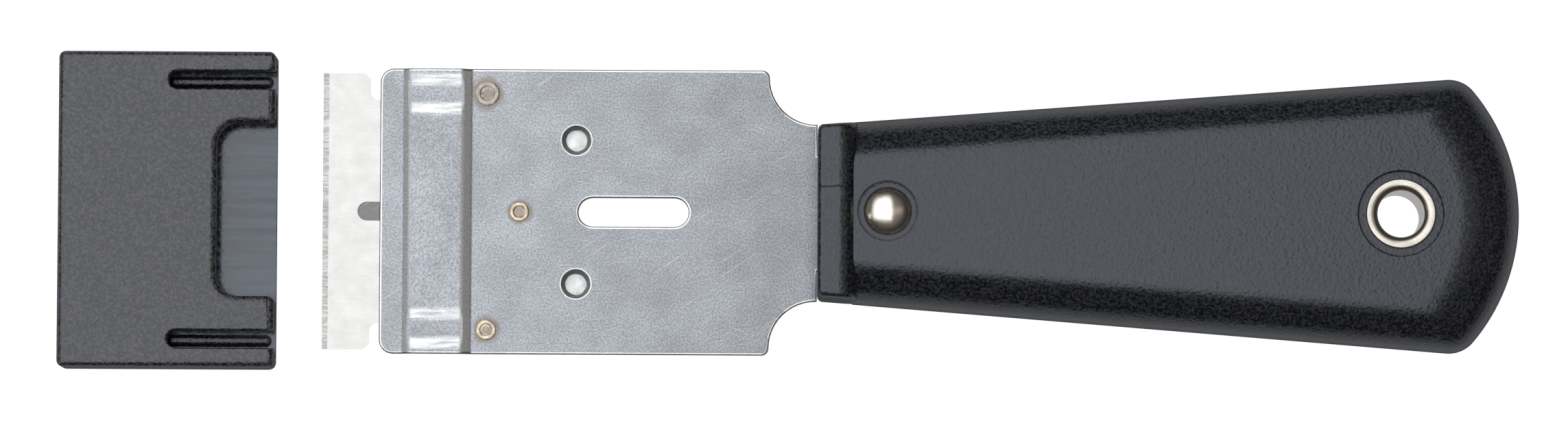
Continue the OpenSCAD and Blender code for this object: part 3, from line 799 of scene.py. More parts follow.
# Run over which the painted light on the sheet falls off towards the collar
PAINTED_LIGHT_RUN = 42 * MM
FRONT_SLOPE_SHARE = 0.6
ROOF_EASE = 0.3 * MM
HALO_REACH = 1.6
SLANTS_RUNS_WIDTHS_AMOUNTS = ((-0.6, 7, 0.24, 0.19), (-0.25, 9, 0.14, 0.17), (0.3, 5, 0.16, 0.15))
BORE_ROUGHNESS = 0.05


def rgba(value, level=1.0):
    """Colour with alpha, brightened or darkened by a level"""
    return (*[min(channel * level, 1.0) for channel in value], 1.0)


class Finish:
    """A material under way: its tree, its Principled shader and its Object coordinates"""

    def __init__(self, name):
        self.material = bpy.data.materials.new(name)
        self.material.use_nodes = True
        self.tree = self.material.node_tree
        self.shader = self.tree.nodes["Principled BSDF"]
        self.place = add(self.tree, "ShaderNodeTexCoord", output="Object")

    def set(self, **values):
        """Sets constants on the shader, and links what varies"""
        for key, value in values.items():
            socket = self.shader.inputs[key.replace("_", " ")]
            if isinstance(value, Field):
                self.tree.links.new(value.socket, socket)
            else:
                socket.default_value = value

    def use(self, name, **values):
        """Outputs of a shader group that is placed at the Object coordinates, with its own values"""
        inputs = {key.replace("_", " "): value for key, value in values.items()}
        made = put(self.tree, "ShaderNodeGroup", {"Vector": self.place, **inputs}, node_tree=node_group(name))
        return {socket.name: Field(self.tree, socket) for socket in made.outputs}

    def from_middle(self):
        """Distance from the axis that a turned piece was swept round"""
        return add(self.tree, "ShaderNodeAttribute", output="Fac", attribute_name="from_middle")

    def bump(self, height, depth):
        """Bump from a height, whose full range is depth"""
        self.set(Normal=add(self.tree, "ShaderNodeBump", {"Height": height, "Distance": depth}))


def made_once(make):
    """Maker of a finish that gives the material of that name again once it is made"""

    @functools.wraps(make)
    def give(name, *details, **options):
        if name not in bpy.data.materials:
            make(Finish(name), *details, **options)
        return bpy.data.materials[name]

    return give


@made_once
def moulded_plastic(finish, tone, sheen, gloss, grain_size, grain_depth, roughness, knit=None, drawn=False):
    """Black moulded plastic with spark-eroded grain, dull where it is seen at a glancing angle"""
    finish.set(IOR=PLASTIC_IOR, Specular_IOR_Level=gloss, Specular_Tint=rgba(sheen))
    grain = finish.use("Moulded grain", Size=grain_size)
    worn = finish.use("Scratches", Slant=0.35, Length=9 * MM, Width=0.16 * MM, Amount=0.12)["Mask"]
    fleck = grain["Fleck"]
    if drawn:
        fleck = finish.place.scaled(*STREAKS).noise(4.0, 0.6).rise(0.28, 0.72)
    shade = fleck.mix(rgba(tone, DARK_FLECK), rgba(tone, PALE_FLECK))
    shade = worn.mix(shade, rgba(tone, PALE_FLECK))
    height = grain["Height"]
    if knit:
        line = knit_mask(finish.place, *knit)
        shade = line.mix(shade, rgba(tone, DARK_FLECK))
        height = height - line * KNIT_DEPTH
    glance = add(finish.tree, "ShaderNodeLayerWeight", {"Blend": 0.5}, "Facing")
    even = grain["Fleck"].blend(roughness - GRAIN_ROUGHNESS, roughness + GRAIN_ROUGHNESS)
    finish.set(Base_Color=shade, Roughness=glance.rise(0.5, 1.0).blend(even, GLANCING_ROUGHNESS))
    finish.bump(height, grain_depth)


def knit_mask(place, end, across):
    """Wavering thin line across the collar, where the plastic met itself in the mould"""
    x, y = place.axes()[:2]
    waver = place.scaled(400.0, 0.0, 400.0).noise(1.0)
    middle = waver.rise(0.2, 0.8, across - KNIT_WAVER, across + KNIT_WAVER)
    return abs(y - middle).fall(0.04 * MM, 0.14 * MM) * x.fall(end - KNIT_FADE, end)


def painted_band_highlight_mask(place, head):
    """Painted highlight bands beside the pressed flats of the channel's roof, where they catch the light"""
    x, y = place.axes()[:2]
    from_flat = abs(abs(y) - head.crimp_pitch / 2)
    from_band = abs(from_flat - (head.crimp_w + head.crimp_slope) / 2)
    band = from_band.fall(0.3 * head.crimp_slope, 0.75 * head.crimp_slope)
    patchy = place.scaled(260.0, 2200.0, 260.0).noise(3.0, 0.6).rise(0.25, 0.6, 0.25, 1.0)
    return band * patchy * x.between(*channel_span(head), ROOF_EASE)


def painted_slope_light_mask(place, head):
    """Slopes before and behind the channel, which take a painted lighter tone for the light they catch"""
    x = place.axes()[0]
    front, back = channel_span(head)
    before = x.between(front - head.front_slope, front, head.edge_ease)
    behind = x.between(back, back + head.rear_slope, head.edge_ease)
    return (before * FRONT_SLOPE_SHARE).or_more(behind)


@made_once
def rolled_sheet(finish, tone, colours, head, rubbed=False):
    """Zinc-bright rolled sheet with clouds, speckle, rolling lines, scratches and heat tint, with painted
    light that fades towards the collar; rubbed adds painted highlight bands on the roof and a painted lighter
    tone on the slopes
    """
    finish.set(Metallic=SHEET_METAL)
    rolled = finish.use("Rolled metal", Cloud_size=7 * MM, Line_size=0.24 * MM)
    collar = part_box("handle_front")[0].x
    # Painted light: the sheet is brighter towards the lip and darker towards the collar
    level = finish.place.axes()[0].rise(collar - PAINTED_LIGHT_RUN, collar, 1.03, 0.84)
    shade = rolled["Cloud"].mix(rgba(tone, 0.96), rgba(tone, 1.1))
    shade = (rolled["Lines"] * 0.25).mix(shade, rgba(tone, 1.35))
    shade = (rolled["Speckle"] * 0.85).mix(shade, rgba(colours.sheet_speckle_and_wall_shade, 0.8))
    shade = mix_colour(finish.tree, 1.0, shade, vector(finish.tree, level, level, level), "MULTIPLY")
    for place, radius in weld_places(head):
        heated = finish.use("Halo", Middle=place, Radius=radius, Reach=radius * HALO_REACH)["Mask"]
        shade = (heated * 0.8).mix(shade, rgba(colours.heat))
    first, second, third = [
        finish.use("Scratches", Slant=slant, Length=run * MM, Width=width * MM, Amount=amount)["Mask"]
        for slant, run, width, amount in SLANTS_RUNS_WIDTHS_AMOUNTS]
    scratched = first.or_more(second.or_more(third))
    shade = (scratched * 0.35).mix(shade, rgba(colours.sheared, 0.85))
    roughness = rolled["Cloud"].blend(0.46, 0.38)
    if rubbed:
        # Painted highlight bands on the roof beside the pressed flats
        bright = painted_band_highlight_mask(finish.place, head)
        shade = (bright * 0.85).mix(shade, rgba(colours.sheared))
        roughness = bright.blend(roughness, 0.3)
        # Painted light: the slopes take a lighter, less metallic grey for the light they catch
        bent = painted_slope_light_mask(finish.place, head)
        dull = rolled["Speckle"].mix(rgba(colours.bent), rgba(colours.bent, 0.75))
        shade = bent.mix(shade, dull)
        finish.set(Metallic=bent.blend(SHEET_METAL, PAINTED_SLOPE_METAL))
    finish.set(Base_Color=shade, Roughness=roughness)
    finish.bump(rolled["Speckle"] - scratched, 0.008 * MM)


@made_once
def cup_metal(finish, colours, head):
    """Sheet stretched into the clinched cups: pale floor, painted shade on the wall and a painted highlight
    on the lip
    """
    finish.set(Metallic=0.9)
    rolled = finish.use("Rolled metal", Cloud_size=1.1 * MM, Line_size=0.15 * MM)
    mouth = head.cup_d / 2
    floor_r = mouth - head.cup_draft
    ragged = finish.from_middle() + rolled["Cloud"] * (0.12 * MM)
    # Painted shade on the cup's wall, and a painted highlight on its lip
    wall_shade = ragged.rise(floor_r - 0.06 * MM, floor_r + 0.1 * MM)
    lip_highlight = ragged.rise(mouth + 0.02 * MM, mouth + 0.14 * MM)
    shade = rolled["Cloud"].mix(rgba(colours.sheared, 0.72), rgba(colours.sheared))
    shade = wall_shade.mix(shade, rgba(colours.sheet_speckle_and_wall_shade, 0.45))
    shade = lip_highlight.mix(shade, rgba(colours.sheared, 0.95))
    finish.set(Base_Color=shade, Roughness=rolled["Speckle"].blend(0.32, 0.42))
    finish.bump(rolled["Speckle"], 0.01 * MM)


@made_once
def bright_metal(finish, tone, roughness, line_size, clouded=0.12, lined=0.2, throat=None):
    """Bright metal with fine lines, faint clouds and a few scratches; on the eyelet, painted shade in the
    rolled-out throat and a painted reflection in the bore
    """
    finish.set(Metallic=1.0)
    rolled = finish.use("Rolled metal", Cloud_size=2.5 * MM, Line_size=line_size)
    scratched = finish.use("Scratches", Slant=0.2, Length=7 * MM, Width=0.1 * MM, Amount=0.16)["Mask"]
    shade = rolled["Cloud"].mix(rgba(tone, 1 - clouded), rgba(tone, 1 + clouded / 2))
    shade = (rolled["Lines"] * lined).mix(shade, rgba(tone, 1 - 4 * clouded))
    shade = (scratched * 0.4).mix(shade, rgba(tone, 1.2))
    even = rolled["Cloud"].blend(roughness + 0.04, roughness - 0.03)
    if throat:
        # Painted shade in the throat, and a painted reflection that makes the bore bright
        inner, outer = throat
        reach = finish.from_middle()
        throat_shade = reach.rise(inner, inner + 0.1 * MM) * reach.fall((inner + outer) / 2, outer)
        bore = reach.fall(inner, inner + 0.02 * MM)
        shade = bore.mix(throat_shade.mix(shade, rgba(tone, 0.55)), rgba(tone, 1.15))
        even = bore.blend(even, BORE_ROUGHNESS)
    finish.set(Base_Color=shade, Roughness=even)
    finish.bump(rolled["Lines"] - scratched, 0.003 * MM)


@made_once
def weld_metal(finish, colours):
    """Heat-coloured weld metal, burnt in its middle and golden but for the far weld"""
    finish.set(Metallic=1.0)
    rolled = finish.use("Rolled metal", Cloud_size=0.8 * MM, Line_size=0.1 * MM)
    ragged = finish.from_middle() + rolled["Cloud"] * (0.3 * MM)
    burnt = ragged.fall(0.5 * MM, 0.8 * MM)
    far = finish.place.axes()[1].rise(6 * MM, 12 * MM)
    bead = far.mix(rgba(colours.weld_gold), rgba(colours.weld))
    heated = mix_colour(finish.tree, 0.5, bead, rgba(colours.heat))
    bead = rolled["Cloud"].rise(0.2, 0.8).mix(heated, bead)
    finish.set(Base_Color=(burnt * 0.8).mix(bead, rgba(colours.weld_dark)),
               Roughness=rolled["Speckle"].blend(0.3, 0.45))
    finish.bump(rolled["Cloud"], 0.02 * MM)


def pale_floor(colours, glow_level, mirror_share):
    """Floor that shows white, less so in mirroring surfaces, and keeps the object's shadow"""
    material = bpy.data.materials.new("pale floor")
    material.use_nodes = True
    tree = material.node_tree
    tree.nodes.clear()
    straight, mirrored, through = [add(tree, "ShaderNodeLightPath", output=f"Is {ray} Ray")
                                   for ray in ("Camera", "Glossy", "Transmission")]
    seen = straight.or_more((mirrored * mirror_share).or_more(through))
    matt = add(tree, "ShaderNodeBsdfDiffuse", {"Color": rgba(colours.floor)})
    glow = add(tree, "ShaderNodeEmission", {"Color": (1, 1, 1, 1), "Strength": seen * glow_level})
    both = add(tree, "ShaderNodeAddShader", {0: matt, 1: glow})
    below = add(tree, "ShaderNodeNewGeometry", output="Backfacing")
    clear = add(tree, "ShaderNodeBsdfTransparent")
    put(tree, "ShaderNodeOutputMaterial",
        {"Surface": add(tree, "ShaderNodeMixShader", {0: below, 1: both, 2: clear})})
    return material


# Handle

def handle_ring(inset, height, sizes, low, high):
    """Outline of the handle drawn in by inset, at a height above the parting plane"""
    front = low.x + sizes.nose_set
    lean = math.atan2((sizes.rear_w - sizes.front_w) / 2, high.x - low.x)
    along = polar(1, lean)
    out = Vector((-along.y, along.x))
    half = sizes.front_w / 2 + (front - low.x) * math.tan(lean) - inset / math.cos(lean)
    start = Vector((front, half))
    hub = Vector((high.x - sizes.tail_r, 0))
    tail_r = sizes.tail_r - inset * sizes.tail_bevel / sizes.side_bevel
    outer_share = max(1 - inset / sizes.side_bevel, 0)
    round_r = sizes.face_corner_r + (sizes.tail_corner_r - sizes.face_corner_r) * outer_share
    offset = start - out * round_r - hub
    past = offset.dot(along)
    run = math.sqrt(past ** 2 - offset.length_squared + (tail_r - round_r) ** 2) - past
    middle = start - out * round_r + along * run
    swing = math.atan2((middle - hub).y, (middle - hub).x)
    first = math.atan2(out.y, out.x)
    steps = 2 * ARC_STEPS
    nose = [start + Vector((sizes.nose_r * (1 - math.cos(a)), sizes.nose_r * (math.sin(a) - 1)))
            for a in quarter_turn()[:-1]]
    start += along * sizes.nose_r
    run -= sizes.nose_r
    side = [start + along * run * k / steps for k in range(steps)]
    corner = arc(middle, round_r, first, swing - first)[:-1]
    tail = [hub + polar(tail_r, swing * (1 - k / steps)) for k in range(steps + 1)]
    upper = nose + side + corner + tail
    return [(p.x, p.y, low.z + height) for p in upper + flipped(reversed(upper[:-1]))]


def grip_solid(name, sizes):
    """Upper half of the grip without its collar"""
    low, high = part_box("handle_front")
    face_h = high.z - low.z - sizes.collar_rise
    skin = [Vector((sizes.seam, 0))] + rounded([
        (0, sizes.seam, 0), (0, sizes.side_h, sizes.side_r), (sizes.side_bevel, face_h, sizes.face_r),
        (sizes.side_bevel + sizes.face_r, face_h, 0)], closed=False)
    return loft(name, [handle_ring(p.x, p.y, sizes, low, high) for p in skin])


def collar_solid(sizes):
    """Upper half of the collar, with rounded edges"""
    low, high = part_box("handle_front")
    taper = (sizes.rear_w - sizes.front_w) / 2 / (high.x - low.x)
    quarter = quarter_turn()
    stations = [(sizes.collar_front_r * (1 - math.cos(a)), sizes.collar_front_r * (1 - math.sin(a)), True)
                for a in quarter]
    stations += [(sizes.collar_l - sizes.collar_rear_r * (1 - math.cos(a)),
                  sizes.collar_rear_r * (1 - math.sin(a)), False) for a in reversed(quarter)]
    rings = []
    for x, drawn, sides in stations:
        half = sizes.collar_w / 2 + taper * (x - sizes.collar_l / 2) - (drawn if sides else 0)
        top = high.z - low.z - drawn
        section = rounded(
            [(half - sizes.seam, 0, 0), (half, sizes.seam, 0), (half, top, sizes.collar_side_r),
             (-half, top, sizes.collar_side_r), (-half, sizes.seam, 0), (sizes.seam - half, 0, 0)])
        rings.append([(low.x + x, p.x, low.z + p.y) for p in section])
    return loft("collar", rings)


def recess_cutter(place, recess_d, bore_d, sizes):
    """Cutter for a recess with a rounded lip, and the bore below it"""
    low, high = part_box("handle_front")
    face = high.z - sizes.collar_rise
    floor = face - sizes.recess_depth
    radius = recess_d / 2
    hub = Vector((radius + sizes.recess_lip, face - sizes.recess_lip))
    lip = [hub + polar(sizes.recess_lip, math.pi - a) for a in quarter_turn()[:-1]]
    bore = bore_d / 2
    below = points((0, low.z - OVERRUN), (bore, low.z - OVERRUN), (bore, floor), (radius, floor))
    above = points((lip[-1].x, high.z + OVERRUN), (0, high.z + OVERRUN))
    return turned("recess", below + lip + above, (place.x, place.y, 0))


def recess_floor(sizes):
    """Height of the recesses' floors above the parting plane"""
    low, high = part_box("handle_front")
    return high.z - low.z - sizes.collar_rise - sizes.recess_depth


def tang_cutter(sizes):
    """Cutter for the tang's seat"""
    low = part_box("handle_front")[0]
    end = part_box("blade_holder")[1].x + sizes.tang_play
    half = sizes.tang_w / 2
    plan = [(low.x - OVERRUN, -half), (end, -half), (end, half), (low.x - OVERRUN, half)]
    levels = (low.z - OVERRUN, low.z + sizes.tang_t)
    return loft("tang seat", [[(x, y, z) for x, y in plan] for z in levels])


def handle_half(name, sizes):
    """Upper half of the moulded grip"""
    piece = grip_solid(name, sizes)
    combine(piece, collar_solid(sizes), "UNION")
    for node, recess_d, bore_d in (("rivet_post", sizes.rivet_recess_d, sizes.rivet_bore_d),
                                   ("hang_eyelet", sizes.eyelet_recess_d, sizes.eyelet_bore_d)):
        combine(piece, recess_cutter(middle_of(node), recess_d, bore_d, sizes), "DIFFERENCE")
    combine(piece, tang_cutter(sizes), "DIFFERENCE")
    return piece


class MakeHandle(bpy.types.Operator):
    """Builds the two moulded halves of the handle"""
    bl_idname = "scraper.make_handle"
    bl_label = "Handle halves"

    def execute(self, context):
        sizes = context.scene.scraper.handle
        colours = context.scene.scraper.colours
        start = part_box("handle_front")[0]
        plastic = moulded_plastic(
            "grip plastic", colours.grip, colours.grip_sheen, gloss=0.68, grain_size=0.36 * MM,
            grain_depth=0.05 * MM, roughness=0.3, knit=(start.x + sizes.collar_l, sizes.knit_set))
        front = handle_half("grip_front", sizes)
        back = handle_half("grip_back", sizes)
        reshape(back, lambda bm: flip_over(bm, start.z))
        finish_piece(front, [plastic], "tool", ["handle_front"])
        finish_piece(back, [plastic], "tool", ["handle_back"])
        return {"FINISHED"}


# Rivet and eyelet

# Span of the painted shade in the eyelet's throat, as shares of the throat's radius
THROAT_PARTS = (0.02, 0.8)


class MakeRivet(bpy.types.Operator):
    """Turns the two halves of the rivet"""
    bl_idname = "scraper.make_rivet"
    bl_label = "Rivet"

    def execute(self, context):
        sizes = context.scene.scraper.fittings
        colours = context.scene.scraper.colours
        nickel = bright_metal("rivet nickel", colours.rivet, roughness=0.15, line_size=0.05 * MM)
        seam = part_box("handle_front")[0].z
        floor_h = recess_floor(context.scene.scraper.handle)
        place = middle_of("rivet_post")
        head = crown(sizes.rivet_head_d / 2, sizes.rivet_head_h - sizes.rivet_rim, 2 * ARC_STEPS)
        dome = [point + Vector((0, sizes.rivet_rim)) for point in reversed(head)]
        ease = sizes.rivet_rim / 4
        foot = points((sizes.rivet_head_d / 2, ease), (sizes.rivet_head_d / 2 - ease, 0))
        depth = 2 * floor_h - sizes.rivet_end_play
        post = sizes.rivet_post_d / 2
        barrel = sizes.rivet_barrel_d / 2
        bore = post + sizes.rivet_play
        solid = dome + foot + points((post, 0), (post, -depth), (0, -depth))
        hollow = dome + foot + points((barrel, 0), (barrel, -depth), (bore, -depth), (bore, 0), (0, 0))
        front = turned("rivet_front", solid, (place.x, place.y, seam + floor_h), nickel)
        back = turned("rivet_back", flipped(hollow), (place.x, place.y, seam - floor_h), nickel)
        finish_piece(front, [], "tool", ["rivet_post"])
        finish_piece(back, [], "tool", ["rivet_barrel"])
        return {"FINISHED"}


class MakeEyelet(bpy.types.Operator):
    """Turns the hanging eyelet with its rolled flanges"""
    bl_idname = "scraper.make_eyelet"
    bl_label = "Hanging eyelet"

    def execute(self, context):
        sizes = context.scene.scraper.fittings
        colours = context.scene.scraper.colours
        hole = sizes.eyelet_hole_d / 2
        # Radii between which the throat takes painted shade
        throat = [hole + part * sizes.eyelet_throat_r for part in THROAT_PARTS]
        nickel = bright_metal("eyelet nickel", colours.nickel, roughness=0.26, line_size=0.05 * MM,
                              throat=throat)
        flange = sizes.eyelet_flange_d / 2
        floor_h = recess_floor(context.scene.scraper.handle)
        crest = floor_h + sizes.eyelet_rise
        upper = rounded([
            (hole, 0, 0), (hole, crest, sizes.eyelet_throat_r), (flange, crest, sizes.eyelet_lip_r),
            (flange, floor_h, 0), (hole + sizes.eyelet_wall, floor_h, 0)], closed=False)[1:]
        place = middle_of("hang_eyelet")
        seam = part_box("handle_front")[0].z
        whole = upper + flipped(reversed(upper))
        piece = turned("eyelet", whole, (place.x, place.y, seam), nickel, closed=True)
        finish_piece(piece, [], "tool", ["hang_eyelet"])
        return {"FINISHED"}


# Head

CRIMP_STEPS = 6


def channel_span(head):
    """Front and back of the channel's roof along X"""
    low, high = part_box("blade_spine")
    return low.x - head.spine_play, high.x + head.spine_play


def weld_places(head):
    """Middles and radii of the three welds"""
    foot = channel_span(head)[1] + head.rear_slope
    return [(Vector((foot + head.weld_set, head.weld_pitch / 2, 0)), head.weld_far_d / 2),
            (Vector((foot + head.weld_set, -head.weld_pitch / 2, 0)), head.weld_near_d / 2),
            (Vector((foot + head.weld_mid_set, 0, 0)), head.weld_mid_d / 2)]


def cup_places(head):
    """Middles of the two clinched cups"""
    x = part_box("handle_front")[0].x - head.cup_set
    return [Vector((x, side * head.cup_pitch / 2)) for side in (-1, 1)]


def set_in(line, distance):
    """Closed outline set in to its left by a distance"""
    count = len(line)
    ways = [(line[(i + 1) % count] - line[i]).normalized() for i in range(count)]
    sides = points(*[(-way.y, way.x) for way in ways])
    return [line[i] + (sides[i - 1] + sides[i]) * distance / (1 + sides[i - 1].dot(sides[i]))
            for i in range(count)]


def spaced(line):
    """Closed outline without doubled points, counterclockwise"""
    kept = [line[i] for i in range(len(line)) if (line[i] - line[i - 1]).length > WELD_DISTANCE]
    area = sum(kept[i - 1].cross(kept[i]) for i in range(len(kept)))
    return kept if area > 0 else kept[::-1]


def blank(outline, holes, plain=(), along=(), across=(), rims=()):
    """Flat sheet with holes, parted at each line along X and across Y; but for the plain holes, its edges
    get rims of (width, drop) from the outside in, whose faces take the last finishes"""
    bm = bmesh.new()
    drop_of = bm.verts.layers.float.new("drop")
    edges = []
    for line, way in [(outline, 1)] + [(hole, -1) for hole in [*holes, *plain]]:
        here = spaced(line)
        row = [bm.verts.new((p.x, p.y, 0)) for p in here]
        for k, (width, fall) in enumerate(() if line in plain else rims):
            for vert in row:
                vert[drop_of] = fall
            here = set_in(here, way * width)
            inner = [bm.verts.new((p.x, p.y, 0)) for p in here]
            for i in range(len(row)):
                bm.faces.new((row[i - 1], row[i], inner[i], inner[i - 1])).material_index = len(rims) - k
            row = inner
        pairs = [(row[i - 1], row[i]) for i in range(len(row))]
        edges += [bm.edges.get(pair) or bm.edges.new(pair) for pair in pairs]
    bmesh.ops.triangle_fill(bm, edges=edges, use_beauty=True, normal=(0, 0, 1))
    bmesh.ops.recalc_face_normals(bm, faces=bm.faces)
    cuts = [((x, 0, 0), (1, 0, 0)) for x in along] + [((0, y, 0), (0, 1, 0)) for y in across]
    for place, normal in cuts:
        geometry = bm.verts[:] + bm.edges[:] + bm.faces[:]
        bmesh.ops.bisect_plane(bm, geom=geometry, dist=WELD_DISTANCE, plane_co=place, plane_no=normal)
    return bm


def bend(solid, path):
    """Bends a flat sheet along a path of (x, z) points, which lie at its bend lines"""
    last = len(path) - 1

    def lie(x):
        nearest = min(range(last + 1), key=lambda i: abs(path[i].x - x))
        if abs(path[nearest].x - x) < SAME_PLACE:
            way = path[min(nearest + 1, last)] - path[max(nearest - 1, 0)]
            return path[nearest].y, way.normalized()
        after = next((i for i in range(1, last) if path[i].x > x), last)
        way = path[after] - path[after - 1]
        return path[after - 1].y + way.y * (x - path[after - 1].x) / way.x, way.normalized()

    for vert in solid.verts:
        height, way = lie(vert.co.x)
        offset = vert.co.z
        vert.co = (vert.co.x - offset * way.y, vert.co.y, height + offset * way.x)


def bent_sheet(outline, holes, cup_r, path, head, across=()):
    """Sheet with the head's slot, room for the cups and further holes, thinned along its rims and bent"""
    slot = long_hole(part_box("handle_front")[0].x - head.slot_set, head.slot_l, head.slot_w)
    cups = [circle(middle, cup_r, TURN_FACETS) for middle in cup_places(head)]
    rims = (head.edge_cut, head.edge_drop + head.edge_cut), (head.edge_ease, head.edge_drop)
    flat = blank(outline, [slot, *holes], cups, [p.x for p in path[1:-1]], across, rims)
    drop_of = flat.verts.layers.float["drop"]
    solid = thickened(flat, lambda vert: head.sheet_t / 2 - vert[drop_of],
                      lambda face: face.material_index, wall_part=1)
    bend(solid, path)
    return solid


def finish_sheet(piece, sheet, colours, node):
    """Gives a sheet its rolled faces, its sheared edges with a painted highlight, and painted shade along
    their outer strip
    """
    # Bare sheared steel with a painted highlight along the eased edges
    sheared = bright_metal("sheared edge", colours.sheared, roughness=0.28, line_size=0.08 * MM)
    # Painted shade on the outermost strip of the sheared edges
    cut = bright_metal("cut line", colours.cut_line, roughness=0.5, line_size=0.1 * MM)
    finish_piece(piece, [sheet, sheared, cut], "tool", [node])


def press_flats(solid, head):
    """Presses the two flats into the channel's roof"""
    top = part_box("blade_holder")[1].z
    for vert in solid.verts:
        away = abs(abs(vert.co.y) - head.crimp_pitch / 2) - head.crimp_w / 2
        share_left = min(max(1 - away / head.crimp_slope, 0), 1)
        eased = share_left * share_left * (3 - 2 * share_left)
        vert.co.z = min(vert.co.z, top - head.crimp_depth * eased)


class MakeHolder(bpy.types.Operator):
    """Blanks, pierces and bends the blade holder"""
    bl_idname = "scraper.make_holder"
    bl_label = "Blade holder"

    def execute(self, context):
        head = context.scene.scraper.head
        handle = context.scene.scraper.handle
        colours = context.scene.scraper.colours
        low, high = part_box("blade_holder")
        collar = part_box("handle_front")[0]
        half = high.y
        neck = handle.front_w / 2
        shoulder_r = half - neck - head.corner_r
        shoulder = collar.x - shoulder_r - head.neck_l
        outline = rounded(both_sides([
            (low.x, half, head.lip_r), (shoulder, half, head.corner_r), (shoulder, neck, shoulder_r),
            (collar.x - head.seat_play, neck, 0), (collar.x - head.seat_play, head.tang_w / 2, 0),
            (high.x, head.tang_w / 2, head.tang_end_r)]))
        holes = [circle(middle_of("rivet_post").xy, handle.rivet_bore_d / 2),
                 circle(middle_of("hang_eyelet").xy, handle.eyelet_bore_d / 2)]
        front, back = channel_span(head)
        lip_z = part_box("razor_blade")[1].z + head.blade_play + head.sheet_t / 2
        roof_z = high.z - head.sheet_t / 2
        path = rounded([
            (low.x, lip_z, 0), (front - head.front_slope, lip_z, head.bend_r), (front, roof_z, head.bend_r),
            (back, roof_z, head.bend_r), (back + head.rear_slope, collar.z, head.bend_r),
            (high.x, collar.z, 0)], closed=False)
        steps = [head.crimp_w / 2 + head.crimp_slope * k / CRIMP_STEPS for k in range(CRIMP_STEPS + 1)]
        across = [side * (head.crimp_pitch / 2 + way * step)
                  for side in (-1, 1) for way in (-1, 1) for step in steps]
        solid = bent_sheet(outline, holes, head.cup_d / 2 + head.cup_lip_r, path, head, across)
        press_flats(solid, head)
        piece = piece_from("holder", solid)
        # rubbed adds the painted highlight bands and the painted lighter slopes
        sheet = rolled_sheet("rolled sheet", colours.sheet, colours, head, rubbed=True)
        finish_sheet(piece, sheet, colours, "blade_holder")
        return {"FINISHED"}


class MakeBacking(bpy.types.Operator):
    """Blanks, pierces and bends the backing plate"""
    bl_idname = "scraper.make_backing"
    bl_label = "Backing plate"

    def execute(self, context):
        head = context.scene.scraper.head
        colours = context.scene.scraper.colours
        low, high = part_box("backing_plate")
        flat_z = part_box("handle_front")[0].z - head.sheet_t
        channel_z = low.z + head.sheet_t / 2
        front, back = channel_span(head)
        foot = back + head.rear_slope
        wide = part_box("blade_holder")[1].y - head.backing_margin
        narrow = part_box("blade_spine")[1].y - head.tongue_in
        outline = rounded(both_sides([
            (low.x, narrow, head.backing_r), (foot, narrow, head.backing_r), (foot, wide, head.backing_r),
            (high.x, wide, head.backing_r)]))
        path = rounded([
            (low.x, flat_z, 0), (front - head.backing_slope, flat_z, head.bend_r),
            (front, channel_z, head.bend_r), (back, channel_z, head.bend_r),
            (back + head.backing_slope, flat_z, head.bend_r), (high.x, flat_z, 0)], closed=False)
        cup_r = head.cup_d / 2 + head.cup_wall + head.cup_play
        piece = piece_from("backing", bent_sheet(outline, [], cup_r, path, head))
        # Painted shade: the backing takes a darker colour for the shadow under the holder
        sheet = rolled_sheet("backing sheet", colours.backing, colours, head)
        finish_sheet(piece, sheet, colours, "backing_plate")
        return {"FINISHED"}


def cup_profile(head):
    """Profile of a clinched cup in the holder, with the head's face at height 0"""
    radius = head.cup_d / 2
    floor_r = radius - head.cup_draft
    floor = [p - Vector((0, head.cup_depth)) for p in reversed(crown(floor_r, head.cup_crown))]
    mouth = radius + head.cup_lip_r
    inside = rounded([(floor_r, -head.cup_depth, 0), (radius, 0, head.cup_lip_r), (mouth, 0, 0)],
                     closed=False)
    bottom = -head.cup_depth - head.cup_floor
    outer = radius + head.cup_wall
    ease = head.cup_floor / 3
    under = points((outer, -ease), (outer, bottom + ease), (outer - ease, bottom), (0, bottom))
    return floor + inside[1:] + under


def boss_profile(head):
    """Profile of the cup's boss in the backing plate, with the head's face at height 0"""
    radius = head.cup_d / 2 + head.cup_wall + head.cup_play
    seat = -head.cup_depth - head.cup_floor - head.cup_play
    outer = radius + head.cup_wall
    bottom = seat - head.cup_floor
    rim = -1.1 * head.sheet_t
    edge = rounded([(outer, rim, 0), (outer, bottom, head.cup_floor), (0, bottom, 0)], closed=False)
    return points((0, seat), (radius, seat), (radius, rim)) + edge


def bead_profile(head, depth):
    """Profile of a weld mark 1 mm in radius: a bead round a flat disc, with the face at height 0"""
    half = head.weld_bead_w / 2
    hump = crown(half, head.weld_bead_h)
    middle = 1 * MM - half
    bead = [Vector((middle - p.x, p.y)) for p in hump]
    bead += [Vector((middle + p.x, p.y)) for p in reversed(hump[:-1])]
    sunk = 0.3 * head.weld_bead_h
    disc = points((0, 1.3 * sunk), (0.2 * MM, sunk))
    return disc + bead + points((1 * MM, -depth), (0, -depth))


